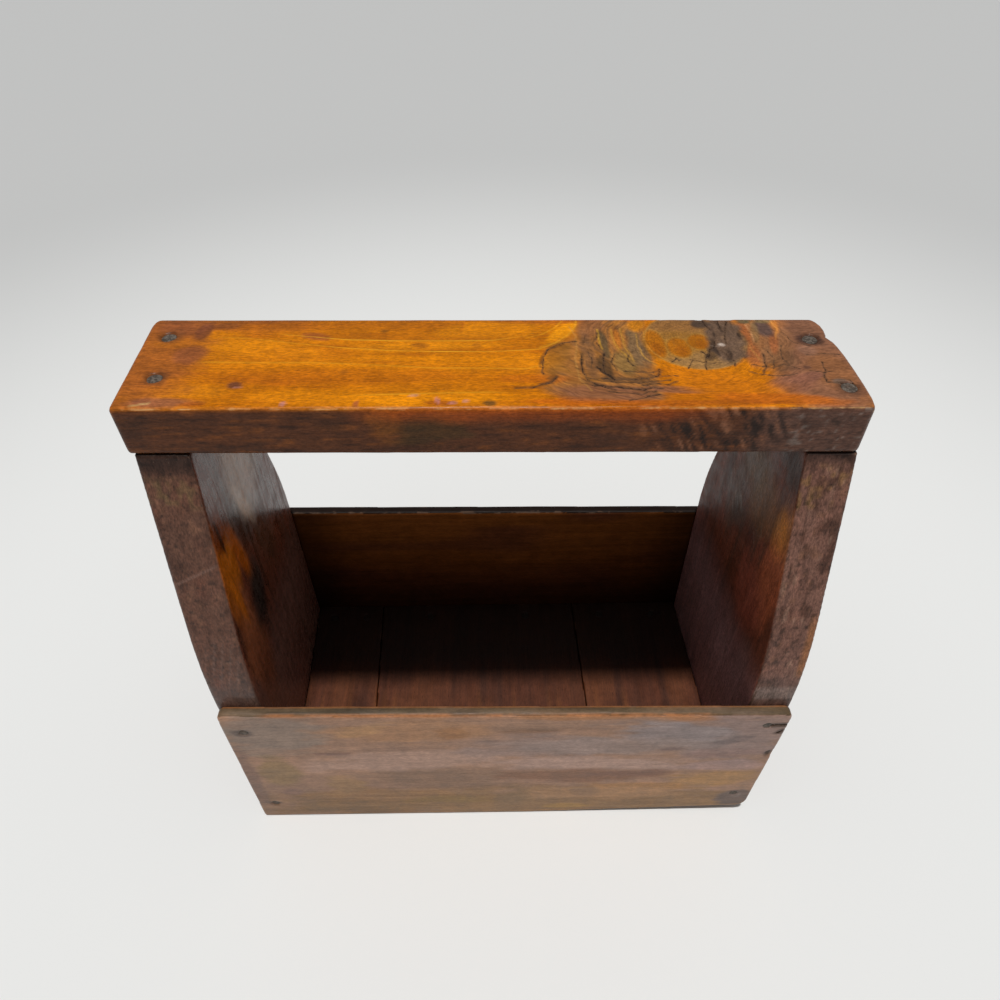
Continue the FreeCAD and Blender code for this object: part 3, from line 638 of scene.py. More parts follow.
# The handle board: a flat plank nailed down on the ends, its top rubbed to a glowing amber
# and its edges left dark. A big knot fills its right half, with curled grain round a broken
# eye, a dark burl, black season cracks, and chips out of the back arris.
FALL = math.tan(math.radians(0.9))
HANDLE_TOP, THICK, HALF_WIDE, HALF_LONG = 287, 24, 33.75, 152.4
handle = Board(
    "handle_board", 1.0,
    finer=lambda centre: centre.x > 16 and centre.z > HANDLE_TOP - 1.1 - FALL * centre.x)
x, y, z = handle.x, handle.y, handle.z
top = HANDLE_TOP - FALL * x
handle.sides(
    top - z, z - (top - THICK), y + HALF_WIDE, HALF_WIDE - y,
    x + HALF_LONG + RACK * y, HALF_LONG - RACK * y - x)
lid = ramp(handle.normals[:, 2], 0.3, 0.8)
faces_front = handle.normals[:, 1] < -0.6
flat = np.column_stack([x, y, np.zeros(len(x))])


def flutter(along, deep, seed):
    return uneven(flat, (along, deep, 1), seed)


# the growth lines, straight along the left of the board and sweeping up to the knot:
# each is given by how far back it lies at some places along the board
SEASONS = [
    [-156, -37.5, 156, -37.5],
    [-156, -27, -50, -25, -0.4, -23, 15, -24, 60, -31, 156, -34],
    [-156, -1, -122.7, -1.2, -78, -1.8, -45, -4, -25, -5.7, -0.4, -6, 14, -6.5, 22, -3, 30, 8, 40,
     24, 156, 31],
    [-156, 18, -119, 17.7, -106, 17.1, -89, 13.8, -67, 9.9, -45, 7.3, -0.4, 6.2, 20, 8, 31, 15,
     36, 22, 42, 33, 156, 36],
    [-156, 27, -92.7, 19.9, -64.9, 16, -44.9, 14.9, -0.4, 14.9, 15, 19, 25, 26, 31, 34, 156, 38],
    [-156, 37, -60, 36, 0, 37, 156, 40],
]
waved = y + 0.5 * flutter(40, 12, 60) + 0.15 * flutter(9, 3, 61)
heights = np.array([np.interp(x, line[::2], line[1::2]) for line in SEASONS])
season = np.zeros(len(x))
for number, (low, high) in enumerate(zip(heights, heights[1:])):
    season = np.where(waved >= low, number + np.clip((waved - low) / (high - low), 0, 1), season)
# how strongly each line shows along the board
SEEN = [
    [-156, 0, 156, 0],
    [-60, 0, -45, 0.45, -2, 0.35, 10, 0],
    [-126, 0, -118, 0.35, -60, 0.3, -10, 0.4, 16, 0.4, 24, 0],
    [-122, 0, -116, 0.5, -60, 0.8, -20, 1, 14, 0.7, 30, 0.3, 42, 0],
    [-95, 0, -90, 0.8, -60, 1, -10, 0.9, 14, 0.3, 25, 0],
    [-156, 0, 156, 0],
]
above = np.clip(np.round(season).astype(int), 0, 5)
glow = np.array([np.interp(x, line[::2], line[1::2]) for line in SEEN])[above, np.arange(len(x))]
glow = glow * (0.75 + 0.35 * flutter(16, 6, 62)) * lid
wander = 0.22 * flutter(9, 6, 63) + 0.1 * flutter(3, 2, 64)
handle.lay((200, 114, 0), 1)
handle.lay((220, 130, 0), 0.7 * ramp(flutter(44, 12, 65), -0.2, 0.7))
handle.lay((180, 94, 8), 0.6 * ramp(flutter(56, 10, 66), 0.0, 0.8))
handle.lay((168, 84, 12), 0.45 * ramp(flutter(18, 2, 67), 0.2, 0.8))

# the knot: distance and turn about its eye, squeezed along the board outside the eye
KNOT = (89.2, 15)
away = np.hypot(x - KNOT[0], y - KNOT[1])
squeeze = 1 - 0.34 * np.clip((away - 22) / 44, 0, 1)
ring = np.hypot((x - KNOT[0]) * squeeze, y - KNOT[1])
turn = np.arctan2(y - KNOT[1], (x - KNOT[0]) * squeeze)
ring = ring + 1.3 * flutter(16, 12, 70) + 0.5 * flutter(5, 4, 71)
bound = np.interp(y, [-29, -25, -20, -13, -8, 9, 16, 29, 34], [52, 26, 20, 22, 21, 27, 34, 39, 41])
knot = ramp(x + 3 * flutter(6, 5, 69), bound - 5, bound + 8)
knot = knot * ramp(x, 136, 128) * ramp(y, -30, -27) * lid
beside = knot * ramp(x, 70, 66)
handle.lay((166, 108, 52), beside * 0.92)
strokes = np.sin(ring * 1.9 + 2.2 * flutter(11, 11, 72))
handle.lay((118, 82, 52), beside * 0.5 * ramp(strokes + flutter(8, 8, 68), 0.1, 1.3))
rings = np.sin(ring * 3.3 + 2.6 * flutter(9, 9, 52))
handle.lay((92, 68, 46), beside * 0.5 * ramp(rings + 0.6 * flutter(4, 6, 51), 0.7, 1.3))
handle.lay((184, 120, 44), beside * 0.45 * ramp(flutter(7, 9, 73) - 0.5 * strokes, 0.2, 0.9))

HANDLE_OVALS = [
    # the left half
    (176, 98, 12, -60, 29, 100, 5, 0.6), (168, 88, 22, -104, 27, 26, 6, 0.6),
    (232, 140, 4, -24, -27, 30, 4.5, 0.8, 2), (228, 136, 4, -72, -26, 26, 4.5, 0.7),
    (222, 132, 12, -118, -22, 12, 4, 0.6), (190, 102, 8, -60, -12, 54, 6, 0.55),
    (226, 136, 6, -96, 8, 28, 6, 0.55, -8), (232, 142, 10, -30, 10.5, 34, 3, 0.6, 2),
    (160, 88, 34, -152, 1, 29, 44, 0.85), (184, 104, 20, -136, 13, 12, 3.5, 0.7),
    (120, 66, 38, -128, 23, 3.6, 7.5, 0.85, -4), (136, 76, 46, -137, 27, 13, 7, 0.6),
    (150, 84, 46, -129, 4, 7, 6.5, 0.8, 12), (128, 72, 34, -119, 27, 6, 2.6, 0.7),
    (150, 78, 44, -77, 18, 6.5, 3, 0.7, -16), (136, 76, 34, -117, 31, 30, 2.4, 0.5),
    (112, 70, 20, -48, 22.7, 1.8, 1.6, 0.7), (150, 82, 18, -31.5, 11, 4, 1.8, 0.6, -12),
    (150, 84, 18, -7, 11, 2.4, 1.8, 0.5), (146, 84, 18, -62, -9, 2, 1.5, 0.5),
    (150, 92, 66, -131, -29.5, 13, 3, 0.75), (156, 76, 20, -119, -30.8, 5, 1.6, 0.7),
    (160, 74, 20, -21, -30, 6, 1.8, 0.7), (104, 60, 42, -104.9, -18.2, 3.0, 2.3, 0.9),
    (190, 128, 112, -103, -19.6, 1.8, 0.7, 0.6), (196, 130, 120, -82.7, -30.8, 1.2, 1.6, 0.8),
    (178, 92, 60, -53.8, -30.6, 1.0, 2.0, 0.7), (206, 146, 110, -31.6, -25.2, 1.9, 0.9, 0.7, 6),
    (192, 120, 110, -22, -28.6, 1.0, 2.6, 0.8, 20), (200, 132, 124, -16, -30.2, 1.8, 1.1, 0.7),
    (198, 136, 116, -10.8, -29, 1.3, 1.2, 0.7), (96, 70, 34, -1.2, -30.4, 2.6, 1.8, 0.8),
    # the wood that runs up to the knot from the left
    (230, 140, 6, -2, 24, 22, 7, 0.6, 8), (236, 148, 8, 31, 22, 3.6, 10, 0.95, -38),
    (226, 134, 8, 13, -2, 16, 6, 0.55, 4), (190, 96, 14, 18, -14, 16, 3, 0.5),
    (196, 98, 12, 34, -29.5, 20, 2.5, 0.75), (170, 90, 24, 22, 31, 22, 2.2, 0.6),
    (150, 98, 34, 27, 2, 5, 14, 0.6, -16), (126, 76, 30, 24.5, -13, 2.6, 1.2, 0.8, 25),
    (136, 88, 58, 44, 26, 6, 9, 0.7, -20), (162, 88, 30, 42, 33, 9, 2, 0.6),
    (132, 84, 60, 46, -24, 22, 6, 0.75, -4), (146, 94, 66, 74, -21.5, 14, 2.4, 0.8, -4),
    (112, 82, 60, 41, 2, 3, 17, 0.5, 4), (84, 70, 48, 48.6, 12, 1.9, 12, 0.85, 4),
    (66, 52, 36, 47.2, -5, 2.6, 9, 0.8, 10), (90, 66, 44, 54, -15, 10, 2.4, 0.6, -6),
    (142, 108, 58, 56, -2, 5, 9, 0.85, 4), (122, 96, 66, 62, 9, 3.4, 16, 0.85, 2),
    (96, 76, 56, 66, 3, 2, 9, 0.6, -4), (192, 112, 34, 54.8, 17, 1.5, 8, 0.85, 2),
    (206, 126, 14, 64.6, 27.5, 4, 5, 0.85, -20), (196, 110, 20, 61, 33, 3, 3, 0.6),
    # the right-hand end and the flame of bright grain under the eye
    (138, 94, 70, 139, 0, 20, 50, 0.92), (150, 96, 56, 141.5, -8, 9, 12, 0.7),
    (118, 80, 60, 142, 22, 12, 12, 0.6), (104, 74, 52, 122.5, 2, 7, 10, 0.75, -8),
    (88, 70, 42, 119, 3, 3.4, 7, 0.7, -14), (128, 84, 72, 131, -13, 8, 3, 0.6, 28),
    (144, 92, 68, 121, -19, 13, 6, 0.75, 30), (212, 120, 6, 88, -13, 20, 6, 0.95, -10),
    (204, 114, 8, 98, -21, 21, 7, 0.9, -10), (192, 98, 14, 116, -28, 26, 3.4, 0.8, -4),
    (172, 86, 18, 74, -30.5, 44, 2.0, 0.7), (146, 98, 62, 119, 16, 11, 22, 0.85, -6),
    (166, 94, 48, 111.5, 3, 3.0, 9, 0.75, -8), (168, 94, 48, 112.0, 20, 2.2, 11, 0.75, -4),
    (162, 92, 50, 123, 13, 1.9, 9, 0.75, -12), (196, 120, 50, 127, 27, 2.0, 6, 0.8, -10),
    (90, 70, 64, 121.4, 25, 4.2, 6.5, 0.9), (134, 104, 64, 117, 22, 1.6, 9, 0.6, -8),
    (86, 80, 56, 114, 31, 3, 2.2, 0.85), (134, 112, 72, 123, 31, 4, 2, 0.7),
    (72, 46, 40, 139.9, 15.6, 5.5, 4.2, 0.75), (86, 58, 50, 132, -6, 1.6, 1.2, 0.6),
    (112, 104, 96, 142.4, -16, 3.4, 1.8, 0.6), (150, 110, 90, 136, 7, 4, 4, 0.4),
]
handle.lay_ovals(HANDLE_OVALS, x, y, 0.9 * wander, where=lid)

# thin lines of colour: along the rings, up the bright sweep, and a scratch or two
STROKES = [
    # red, green, blue, half width, strength, and the points of the line
    (242, 168, 36, 0.6, 0.7, 20, 9.5, 27, 13, 33, 19, 37, 27, 38, 31),
    (240, 164, 30, 0.5, 0.6, 15, 17, 22, 20, 29, 27, 31, 31),
    (104, 60, 26, 0.8, 0.7, 31, 12, 23, 7, 21, 2.7, 20, -5),
    (96, 62, 30, 1.0, 0.8, 10, -20, 17, -19.5, 22, -17, 26, -13),
    (150, 60, 20, 0.6, 0.7, -13.8, 22.8, -14, 29.4),
    (222, 168, 50, 0.5, 0.7, 47, 24, 46.5, 17, 47.5, 8),
    (220, 160, 50, 0.5, 0.6, 52.6, 24, 53, 15, 55, 7, 58, 0),
    (214, 156, 60, 0.5, 0.6, 57.4, 25, 57, 15, 58, 6, 60, -1),
    (196, 140, 70, 0.5, 0.6, 34, 26, 37, 18, 36, 8, 35, -4, 36, -14, 40, -22),
    (206, 150, 60, 0.5, 0.55, 64, 20, 63, 10, 65, 1, 69, -4),
    (226, 196, 130, 0.6, 0.7, -142, -31.8, -138, -30.6, -135, -30),
    (200, 140, 70, 0.5, 0.5, 111, 16, 112, 8, 114, -1),
    (226, 150, 70, 0.5, 0.7, 126.5, 32, 127.5, 25, 124.6, 16),
    (208, 150, 100, 0.5, 0.6, 114, 28, 115.5, 22, 114.6, 14),
]
for red, green, blue, half_width, strength, *line in STROKES:
    line = np.reshape(line, (-1, 2))
    gap = path_distance(np.column_stack([x + 0.5 * flutter(4, 4, 58), y]), line)
    shown = np.clip(1.25 - gap / half_width, 0, 1) * (0.8 + 0.3 * flutter(4, 4, 59))
    handle.lay((red, green, blue), shown * strength * lid)

# the eye: olive wood with three amber lenses, in a pale rim, and the dark burl beside it
around = np.hypot((x - KNOT[0]) / 22.5, (y - KNOT[1]) / 22.5) + 0.02 * flutter(6, 6, 76)
eye = ramp(around, 1.02, 0.97)
handle.lay((156, 112, 62), eye * lid * 0.95)
handle.lay_ovals([
    (162, 110, 42, 80, 10, 15, 14, 0.8), (150, 102, 54, 81, 29, 14, 6, 0.8),
    (154, 118, 74, 92, 0, 16, 6, 0.6)], x, y, wander, where=eye)
lens = 0.05 * flutter(4, 4, 77)
LENSES = [(70.9, 11.8, 4.4, 11.2, 3), (80.9, 9.3, 5.0, 7.4, 2), (90.4, 13.8, 4.8, 5.8, -8)]
for right, back_by, wide, long, slant in LENSES:
    for colour, grown, edge, strength in (
            ((196, 142, 50), (0.9, 1.2), 0.12, 0.35), ((146, 92, 30), (0.3, 0.4), 0.1, 0.7),
            ((176, 102, 8), (0, 0), 0.18, 0.92)):
        handle.lay_ovals(
            [(*colour, right, back_by, wide + grown[0], long + grown[1], strength, slant)],
            x, y, lens, edge)
    handle.lay_ovals(
        [(156, 84, 8, right + 0.6, back_by - 0.3 * long, 2.6, 0.5 * long, 0.6, slant)], x, y, lens)
    handle.lay_ovals(
        [(150, 92, 26, right, back_by, wide, long, 0.5, slant)], x, y, lens, 0.18,
        ramp(flutter(1.6, 9, 50), 0.1, 0.7))
rim = np.clip(1.2 - np.abs(around - 0.99) / 0.03, 0, 1) * lid * (x < 108)
handle.lay((200, 144, 62), rim * (0.3 + 0.5 * ramp(y + 0.5 * x, 48, 24)))
burl = blot(x, y, (102.4, 16), (8.6, 18), -4, 0.8 * wander, 0.22) * lid
handle.lay((112, 86, 67), burl)
knobbly = flutter(1.8, 7, 78) + 0.4 * flutter(1, 2, 57)
handle.lay((54, 40, 32), burl * ramp(knobbly, 0, 0.7) * 0.85)
handle.lay((140, 108, 80), burl * ramp(flutter(2.4, 4, 79), 0.35, 0.8) * 0.6)
handle.lay_ovals([
    (62, 54, 50, 93.5, 29, 4, 4, 0.85), (50, 38, 32, 93, 2, 2.2, 3.4, 0.7, -20)],
    x, y, wander, where=lid)
handle.lay_ovals([
    (196, 176, 160, 100, 12.1, 1.5, 1.1, 1, -20), (150, 126, 110, 97.6, 11, 2.6, 0.6, 0.6, -10)],
    x, y, 0, 0.5, lid)
# dirt round the nail heads and along the back arris
for nail_place in ((-142, 18.3), (-138.4, -12.8), (140, 15.4), (144.8, -20)):
    gap = np.hypot(x - nail_place[0], y - nail_place[1])
    handle.lay((70, 46, 32), np.clip(1.7 - gap / (3.9 + flutter(3, 3, 54)), 0, 1) * lid * 0.75)
handle.lay((112, 62, 26), ramp(y + 1.2 * flutter(12, 3, 56), 30.5, 33.5) * lid * 0.6)

# the season cracks: the width of each and the points that it runs through
CRACKS = [
    (1.2, 38, 4, 37.5, -3, 37.5, -9.5, 39.5, -15.5, 43, -18.5, 54, -20.5, 62, -21.5),
    (1.7, 44, -5, 45.5, -8.5, 48, -11, 50, -14.5), (1.2, 47.5, 5, 47, -1, 46, -5, 47, -9.5),
    (0.9, 46.5, 21, 45.5, 14, 47, 8), (0.9, 58, 3, 57.5, -1, 59, -4.5),
    (0.9, 55, -8.5, 61, -9.5, 69, -9, 70, -7.5),
    (1.3, 45, -13.5, 54, -14, 63, -14, 68, -12.5, 70, -8.5), (0.9, 59, -17, 67, -15.5, 73, -15),
    (1.2, 55, -20, 59, -21.5, 65, -23), (1.1, 61, -18.5, 65, -17.5, 71, -18, 76, -16),
    (0.9, 54, -28.5, 59, -27.5, 63, -26, 67, -24.5), (1.0, 61, -21.5, 65, -20, 69, -20.5),
    (0.8, 8.5, -20.5, 16.5, -20, 21.5, -17.5), (1.8, 19.5, -18, 23.5, -16.5, 26.5, -13),
    (0.9, 21, -10.5, 21, -4, 21.5, 2, 23.5, 7, 27.5, 11, 31.5, 13.5),
    (0.6, 31.5, 13.5, 37.5, 14, 45, 13.5), (0.7, 39, -13, 45, -15.5, 52, -16.5, 60, -16),
    (0.7, 46, -22.5, 53, -24, 60, -24.5, 66, -22.5), (0.6, 41, 6, 42, -1, 41.5, -7),
    (0.6, 52, 4, 50.5, -2, 52, -8), (0.6, 64, -11.5, 70, -12.5, 77, -12),
    (0.7, 36, -17, 44, -19.5, 50, -22), (1.6, 90.5, 6, 92.5, 2, 94, 8, 96.5, 10, 97.5, 15),
    (1.0, 98.5, 8, 101.5, 2, 102.5, -2, 101.5, -5), (0.8, 92, 4, 90, -3, 89.5, -7.5),
    (0.7, 84, 0, 89, -2, 93, -3, 96.5, -2), (0.7, 76, -2, 78, 1.5, 79, -1),
    (0.7, 82, -7, 83.5, -3, 85, 0), (0.9, 102, 13, 103, 21, 102, 32),
    (1.3, 95, 33, 96, 27, 97.5, 24), (1.0, 106.5, 31, 104.5, 25, 103, 21),
    (0.8, 116.5, 4, 115, -4, 112.5, -11.5),
    (0.7, 106.5, -9, 112.5, -11.5, 119.5, -12, 126.5, -10.5),
    (0.7, 109.5, -4, 116.5, -6, 122.5, -4, 128.5, -7), (0.6, 118.5, 7, 119.5, 0, 117.5, -7),
    (0.7, 125.5, 11, 123.5, 2, 124.5, -4), (0.6, 129.5, 21, 131.5, 13, 138.5, 10.5),
    (1.0, 139.5, -2, 139, -7.5, 137, -13.5, 137, -16.5, 140.5, -17, 145.5, -16.5),
    (0.6, 134.5, 3, 141.5, 4.5, 149, 3.5), (0.6, 132.5, -8.5, 139.5, -9.5, 144.5, -9),
    (0.8, 147, -14.5, 148, -18.5, 146.5, -22.5),
]
for width, *path in CRACKS:
    handle.split(
        x + 0.5 * flutter(3, 3, 80), y + 0.5 * flutter(3, 3, 81), np.reshape(path, (-1, 2)),
        (1 + 0.5 * flutter(2, 2, 55)) * 0.25 * width, 0.3 * width, lid > 0.5)

# the front edge: dark and fibrous, with the side of the knot black in slanting scales
fibrous = handle.uneven(9, 3, 1.4, 82) + 0.7 * handle.uneven(4, 3, 0.8, 83)
dark_edge = 1 - lid
for colour, amount in (
        ((96, 56, 34), 1),
        ((136, 78, 36), ramp(fibrous, 0.25, 1.1) * 0.7),
        ((58, 36, 26), ramp(fibrous, -0.2, -1.0) * 0.8),
        ((70, 44, 32), handle.patches(16, 9, 9, 84, 0.0, 0.7) * 0.6)):
    handle.lay(colour, dark_edge * amount)
beside_knot = blot(x, z, (92, 276), (30, 16), 0, 0.2 * handle.uneven(8, 5, 5, 85))
slanted = np.column_stack([x + 0.53 * z, y, z])
scales = uneven(slanted, (1.6, 3, 8), 86) + 0.6 * uneven(slanted, (1.0, 3, 4), 87)
specks = handle.uneven(2.2, 3, 1.5, 49)
on_face = 0.4 * handle.uneven(5, 5, 3, 48)
glow_under = ramp(z + FALL * x + 1.5 * handle.uneven(7, 9, 9, 53), 277.5, 285)
for colour, amount in (
        ((104, 74, 62), ramp(x, 96, 116) * 0.8),
        ((38, 29, 25), beside_knot * ramp(scales, 0.0, 0.5) * 0.85),
        ((150, 100, 72), beside_knot * ramp(scales, -0.25, -0.8) * 0.7),
        ((140, 124, 114), ramp(x, 114, 124) * ramp(specks, 0.35, 0.8) * 0.6),
        ((52, 38, 32), ramp(x, 110, 122) * ramp(specks, -0.3, -0.8) * 0.6),
        ((74, 56, 30), blot(x, z, (-24, 277), (16, 8), 0, on_face) * 0.6),
        ((160, 92, 28), blot(x, z, (-43, 280), (6, 7), 0, on_face, 0.6) * 0.45),
        ((172, 80, 20), glow_under * 0.7 * np.interp(x, [-60, -40, 70, 96], [0, 1, 1, 0]))):
    handle.lay(colour, faces_front * amount)
handle.depth += faces_front * (0.15 * (1 + scales) * beside_knot + 0.06 * (1 + fibrous))
# painted highlight: the front top arris is painted bright along its whole length, where the light
# catches it; the others are rubbed only here and there
on_front_arris = (y < -30) & (top - z < 4)
handle.lay((206, 118, 46), on_front_arris * np.clip(1 - handle.arris / 1.8, 0, 1) * 0.6 * (x < 118))

# wear in the shape: a hollowed top, round arrises, the worn end and the chips
handle.depth += lid * 0.05 * (1 + flutter(50, 18, 88))
handle.depth += lid * burl * 0.35 * (1 + flutter(3, 4, 89))
handle.depth += lid * eye * 0.1 * (1 + flutter(8, 8, 90))
handle.round_off(0.05 + 0.1 * (1 + handle.uneven(14, 6, 6, 91)), 2.5)
for chip, size in ((93.9, 2.0), (118.6, 1.7), (-133, 1.2), (40, 1.2)):
    gap = np.hypot(x - chip, y - 34.2) / size
    handle.depth += 1.2 * np.clip(1.2 - gap, 0, 1) * (z > top - 11)
WORN_END = ([-34, -27, -17, 3, 10, 13.8, 16.5, 18.2, 20, 24, 27.5, 30, 32, 34],
            [2.5, 1.2, 0.6, 0.5, 1.0, 1.6, 3.0, 3.8, 3.0, 2.4, 2.7, 3.8, 5.5, 7.5])
by_nails = np.minimum(np.hypot(x - 140, y - 15.4), np.hypot(x - 144.8, y + 20))
worn_end = np.clip((x - 138) / 14, 0, 1) ** 1.5 * ramp(by_nails, 4.5, 8)
handle.places[:, 0] -= worn_end * np.interp(y, *WORN_END)
rounded_end = np.clip((-138 - x) / 14, 0, 1) ** 1.5
handle.places[:, 0] += rounded_end * np.interp(y, [28, 31, 34], [0, 0.6, 2.2])

# on this board the varnish's rub colour is a pale painted highlight, kept to the front top arris
handle.arris = np.where(on_front_arris, handle.arris, handle.arris + 1.5)
handle_finish = varnished(
    "handle_varnish", "x", rubbed_and_highlight=(0.72, 0.4, 0.16), shine=(0.24, 0.42), gleam=0.12,
    fibre=0.3, grit=0.24, pores=0.3, rub_and_highlight_width=1.1, rag=0.3, knotty=True)
CURL = 1.6
handle_flow = handle.mesh.attributes.new("flow", "FLOAT_VECTOR", "POINT")
handle_flow.data.foreach_set("vector", np.column_stack([
    CURL * np.cos(turn), CURL * np.sin(turn), ring]).ravel())
handle.finish(handle_finish, "handle_wood", {"knot": knot, "season": season, "glow": glow})


# The nails: wire nails with flat heads, driven a little under the wood and gone dark with
# rust and varnish. One tree draws a nail down its own length and sets one at each place.
NAIL_SIZES = ("Head Width", "Head Thick", "Shank Width", "Length", "Point")


def nail_tree(iron):
    tree = bpy.data.node_groups.new("wire_nails", "GeometryNodeTree")
    sizes = [("INPUT", name, "Float") for name in NAIL_SIZES]
    for way, name, kind in (
            ("INPUT", "Geometry", "Geometry"), *sizes, ("INPUT", "Driven", "Vector"),
            ("INPUT", "Seed", "Int"), ("OUTPUT", "Geometry", "Geometry")):
        tree.interface.new_socket(name=name, in_out=way, socket_type=f"NodeSocket{kind}")
    nail = Finish("wire_nails", tree)
    given = nail.add("NodeGroupInput").outputs
    head = nail.times(given["Head Width"], 0.5)
    shank = nail.times(given["Shank Width"], 0.5)
    thick, length = given["Head Thick"], given["Length"]
    # the profile: half the nail's width, and how far that is under the top of its head
    steps = [
        (nail.times(head, wide), nail.times(thick, deep))
        for wide, deep in ((0.05, 0.01), (0.3, 0.03), (0.6, 0.06), (0.85, 0.12), (0.97, 0.3),
                           (0.99, 0.6), (0.93, 0.95))]
    steps += [
        (shank, nail.times(thick, 1.1)),
        (shank, nail.times(length, 0.5)),
        (shank, nail.maths("SUBTRACT", length, given["Point"])),
        (nail.times(shank, 0.08), length)]
    line = nail.add("GeometryNodeMeshLine", {"Count": len(steps)})
    curve = nail.add("GeometryNodeMeshToCurve", {0: line})
    index = nail.add("GeometryNodeInputIndex")

    def by_step(values):
        switch = nail.add("GeometryNodeIndexSwitch", data_type="FLOAT")
        while len(switch.index_switch_items) < len(values):
            switch.index_switch_items.new()
        for number, value in enumerate([index, *values]):
            nail.join(value, switch.inputs[number])
        return switch

    widths, depths = zip(*steps)
    down = nail.times(by_step(depths), -1.0)
    set_line = nail.add("GeometryNodeSetPosition", {
        0: curve, "Position": nail.add("ShaderNodeCombineXYZ", {2: down})})
    set_width = nail.add("GeometryNodeSetCurveRadius", {0: set_line, "Radius": by_step(widths)})
    circle = nail.add("GeometryNodeCurvePrimitiveCircle", {"Resolution": 20, "Radius": 1.0})
    swept = nail.add("GeometryNodeCurveToMesh", {0: set_width, 1: circle, "Fill Caps": True})
    if "Scale" in swept.inputs:
        nail.join(nail.add("GeometryNodeInputRadius"), swept.inputs["Scale"])
    spin = nail.add("FunctionNodeRandomValue", {
        2: 0.0, 3: 2 * math.pi, "Seed": given["Seed"]}, data_type="FLOAT").outputs[1]
    spun = nail.add("ShaderNodeCombineXYZ", {2: spin})
    aimed = nail.add("FunctionNodeRotateRotation", {
        0: nail.add("FunctionNodeEulerToRotation", {0: given["Driven"]}),
        1: nail.add("FunctionNodeEulerToRotation", {0: spun})}, rotation_space="LOCAL")
    set_nails = nail.add("GeometryNodeInstanceOnPoints", {
        "Points": given["Geometry"], "Instance": swept, "Rotation": aimed})
    real = nail.add("GeometryNodeRealizeInstances", {0: set_nails})
    # hammer marks and rust, always inwards from the drawn shape
    dents = nail.cloud(nail.add("GeometryNodeInputPosition"), 2.0, 0.5, 700.0)
    inward = nail.add("ShaderNodeVectorMath", {
        0: nail.add("GeometryNodeInputNormal"),
        "Scale": nail.times(dents, -0.00022)}, operation="SCALE")
    hammered = nail.add("GeometryNodeSetPosition", {0: real, "Offset": inward})
    smooth = nail.add("GeometryNodeSetShadeSmooth", {0: hammered})
    coated = nail.add("GeometryNodeSetMaterial", {0: smooth, "Material": iron})
    nail.add("NodeGroupOutput", {0: coated})
    return tree


iron = Finish("nail_iron")
iron_places = iron.add("ShaderNodeTexCoord").outputs["Object"]
crust = iron.cloud(iron_places, 4.0, 0.6, 900)
patch = iron.cloud(iron_places, 3.0, 0.5, 260)
iron_colour = iron.blend(
    iron.step(crust, 0.4, 0.65), (0.07, 0.054, 0.042, 1), (0.19, 0.155, 0.125, 1))
iron_colour = iron.blend(iron.step(patch, 0.5, 0.7, 0, 0.6), iron_colour, (0.11, 0.06, 0.038, 1))
# painted shade: the nails at the floor's top are made nearly black, to sit dark in the floor
FLOOR_TOP = 0.036
iron_height = iron.add("ShaderNodeSeparateXYZ", {0: iron_places}).outputs[2]
above_floor = iron.maths("ABSOLUTE", iron.maths("SUBTRACT", iron_height, FLOOR_TOP))
iron_colour = iron.blend(
    iron.step(above_floor, 0.002, 0.004, 0.85, 0), iron_colour, (0.014, 0.008, 0.006, 1))
iron_bump = iron.add("ShaderNodeBump", {"Height": crust, "Strength": 0.6, "Distance": 0.0002})
iron_shader = iron.add("ShaderNodeBsdfPrincipled", {
    "Base Color": iron_colour, "Metallic": 0.2, "Roughness": iron.step(crust, 0.3, 0.7, 0.4, 0.65),
    "Normal": iron_bump, "Specular IOR Level": 0.18})
iron.add("ShaderNodeOutputMaterial", {0: iron_shader})

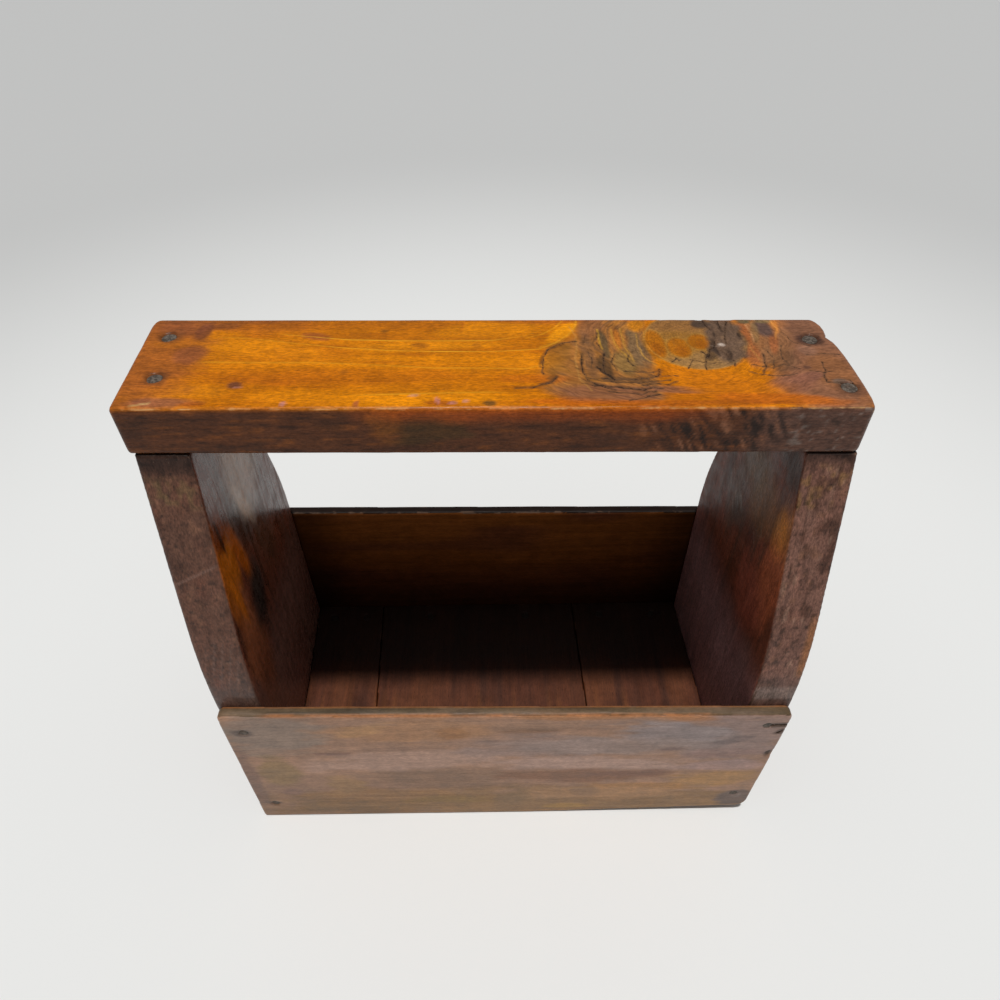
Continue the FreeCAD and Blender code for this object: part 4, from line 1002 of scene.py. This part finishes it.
wire_nails = nail_tree(iron.material)
LONG_NAIL = (0.007, 0.0012, 0.003, 0.05, 0.005)
SHORT_NAIL = (0.0055, 0.001, 0.002, 0.028, 0.0035)
QUARTER = math.pi / 2
DOWN, TO_BACK, TO_FRONT = (0, 0, 0), (QUARTER, 0, 0), (-QUARTER, 0, 0)
TO_RIGHT, TO_LEFT = (0, -QUARTER, 0), (0, QUARTER, 0)
NAILS = [
    ("left_handle_nails", LONG_NAIL, DOWN), ("right_handle_nails", LONG_NAIL, DOWN),
    ("left_front_nails", SHORT_NAIL, TO_BACK), ("right_front_nails", SHORT_NAIL, TO_BACK),
    ("left_back_nails", SHORT_NAIL, TO_FRONT), ("right_back_nails", SHORT_NAIL, TO_FRONT),
    ("left_bearer_nails", LONG_NAIL, TO_RIGHT), ("right_bearer_nails", LONG_NAIL, TO_LEFT),
    ("front_floor_nails", SHORT_NAIL, DOWN), ("back_floor_nails", SHORT_NAIL, DOWN),
]


def nail_heads(node, driven):
    """The middle of each nail's head, from the CAD nails of the node."""
    turned = Vector((0, 0, 1))
    turned.rotate(Matrix.Rotation(driven[0], 3, "X") @ Matrix.Rotation(driven[1], 3, "Y"))
    loose = joined_up(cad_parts[node].data)
    left = set(loose.verts)
    heads = []
    while left:
        found = [left.pop()]
        for vert in found:
            near = {edge.other_vert(vert) for edge in vert.link_edges} & left
            left -= near
            found.extend(near)
        # in one order, so that each run adds them up to the same last digit
        found.sort(key=lambda vert: vert.index)
        height = max(vert.co @ turned for vert in found)
        rim = [vert.co for vert in found if height - vert.co @ turned < 1e-5]
        heads.append(sum(rim, Vector()) / len(rim))
    loose.free()
    return sorted(tuple(head) for head in heads)


for number, (node, sizes, driven) in enumerate(NAILS, start=1):
    places = bpy.data.meshes.new(f"{node}_places")
    places.from_pydata(nail_heads(node, driven), [], [])
    holder = put(f"{node}_drawn", places)
    drawn = holder.modifiers.new("nails", "NODES")
    drawn.node_group = wire_nails
    values = {**dict(zip(NAIL_SIZES, sizes)), "Driven": driven, "Seed": number}
    for socket in wire_nails.interface.items_tree:
        if socket.in_out == "INPUT" and socket.name in values:
            drawn[socket.identifier] = values[socket.name]
    nails = put(f"{node}_hammered", made_plain(holder))
    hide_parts(node)
    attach(nails, "root")
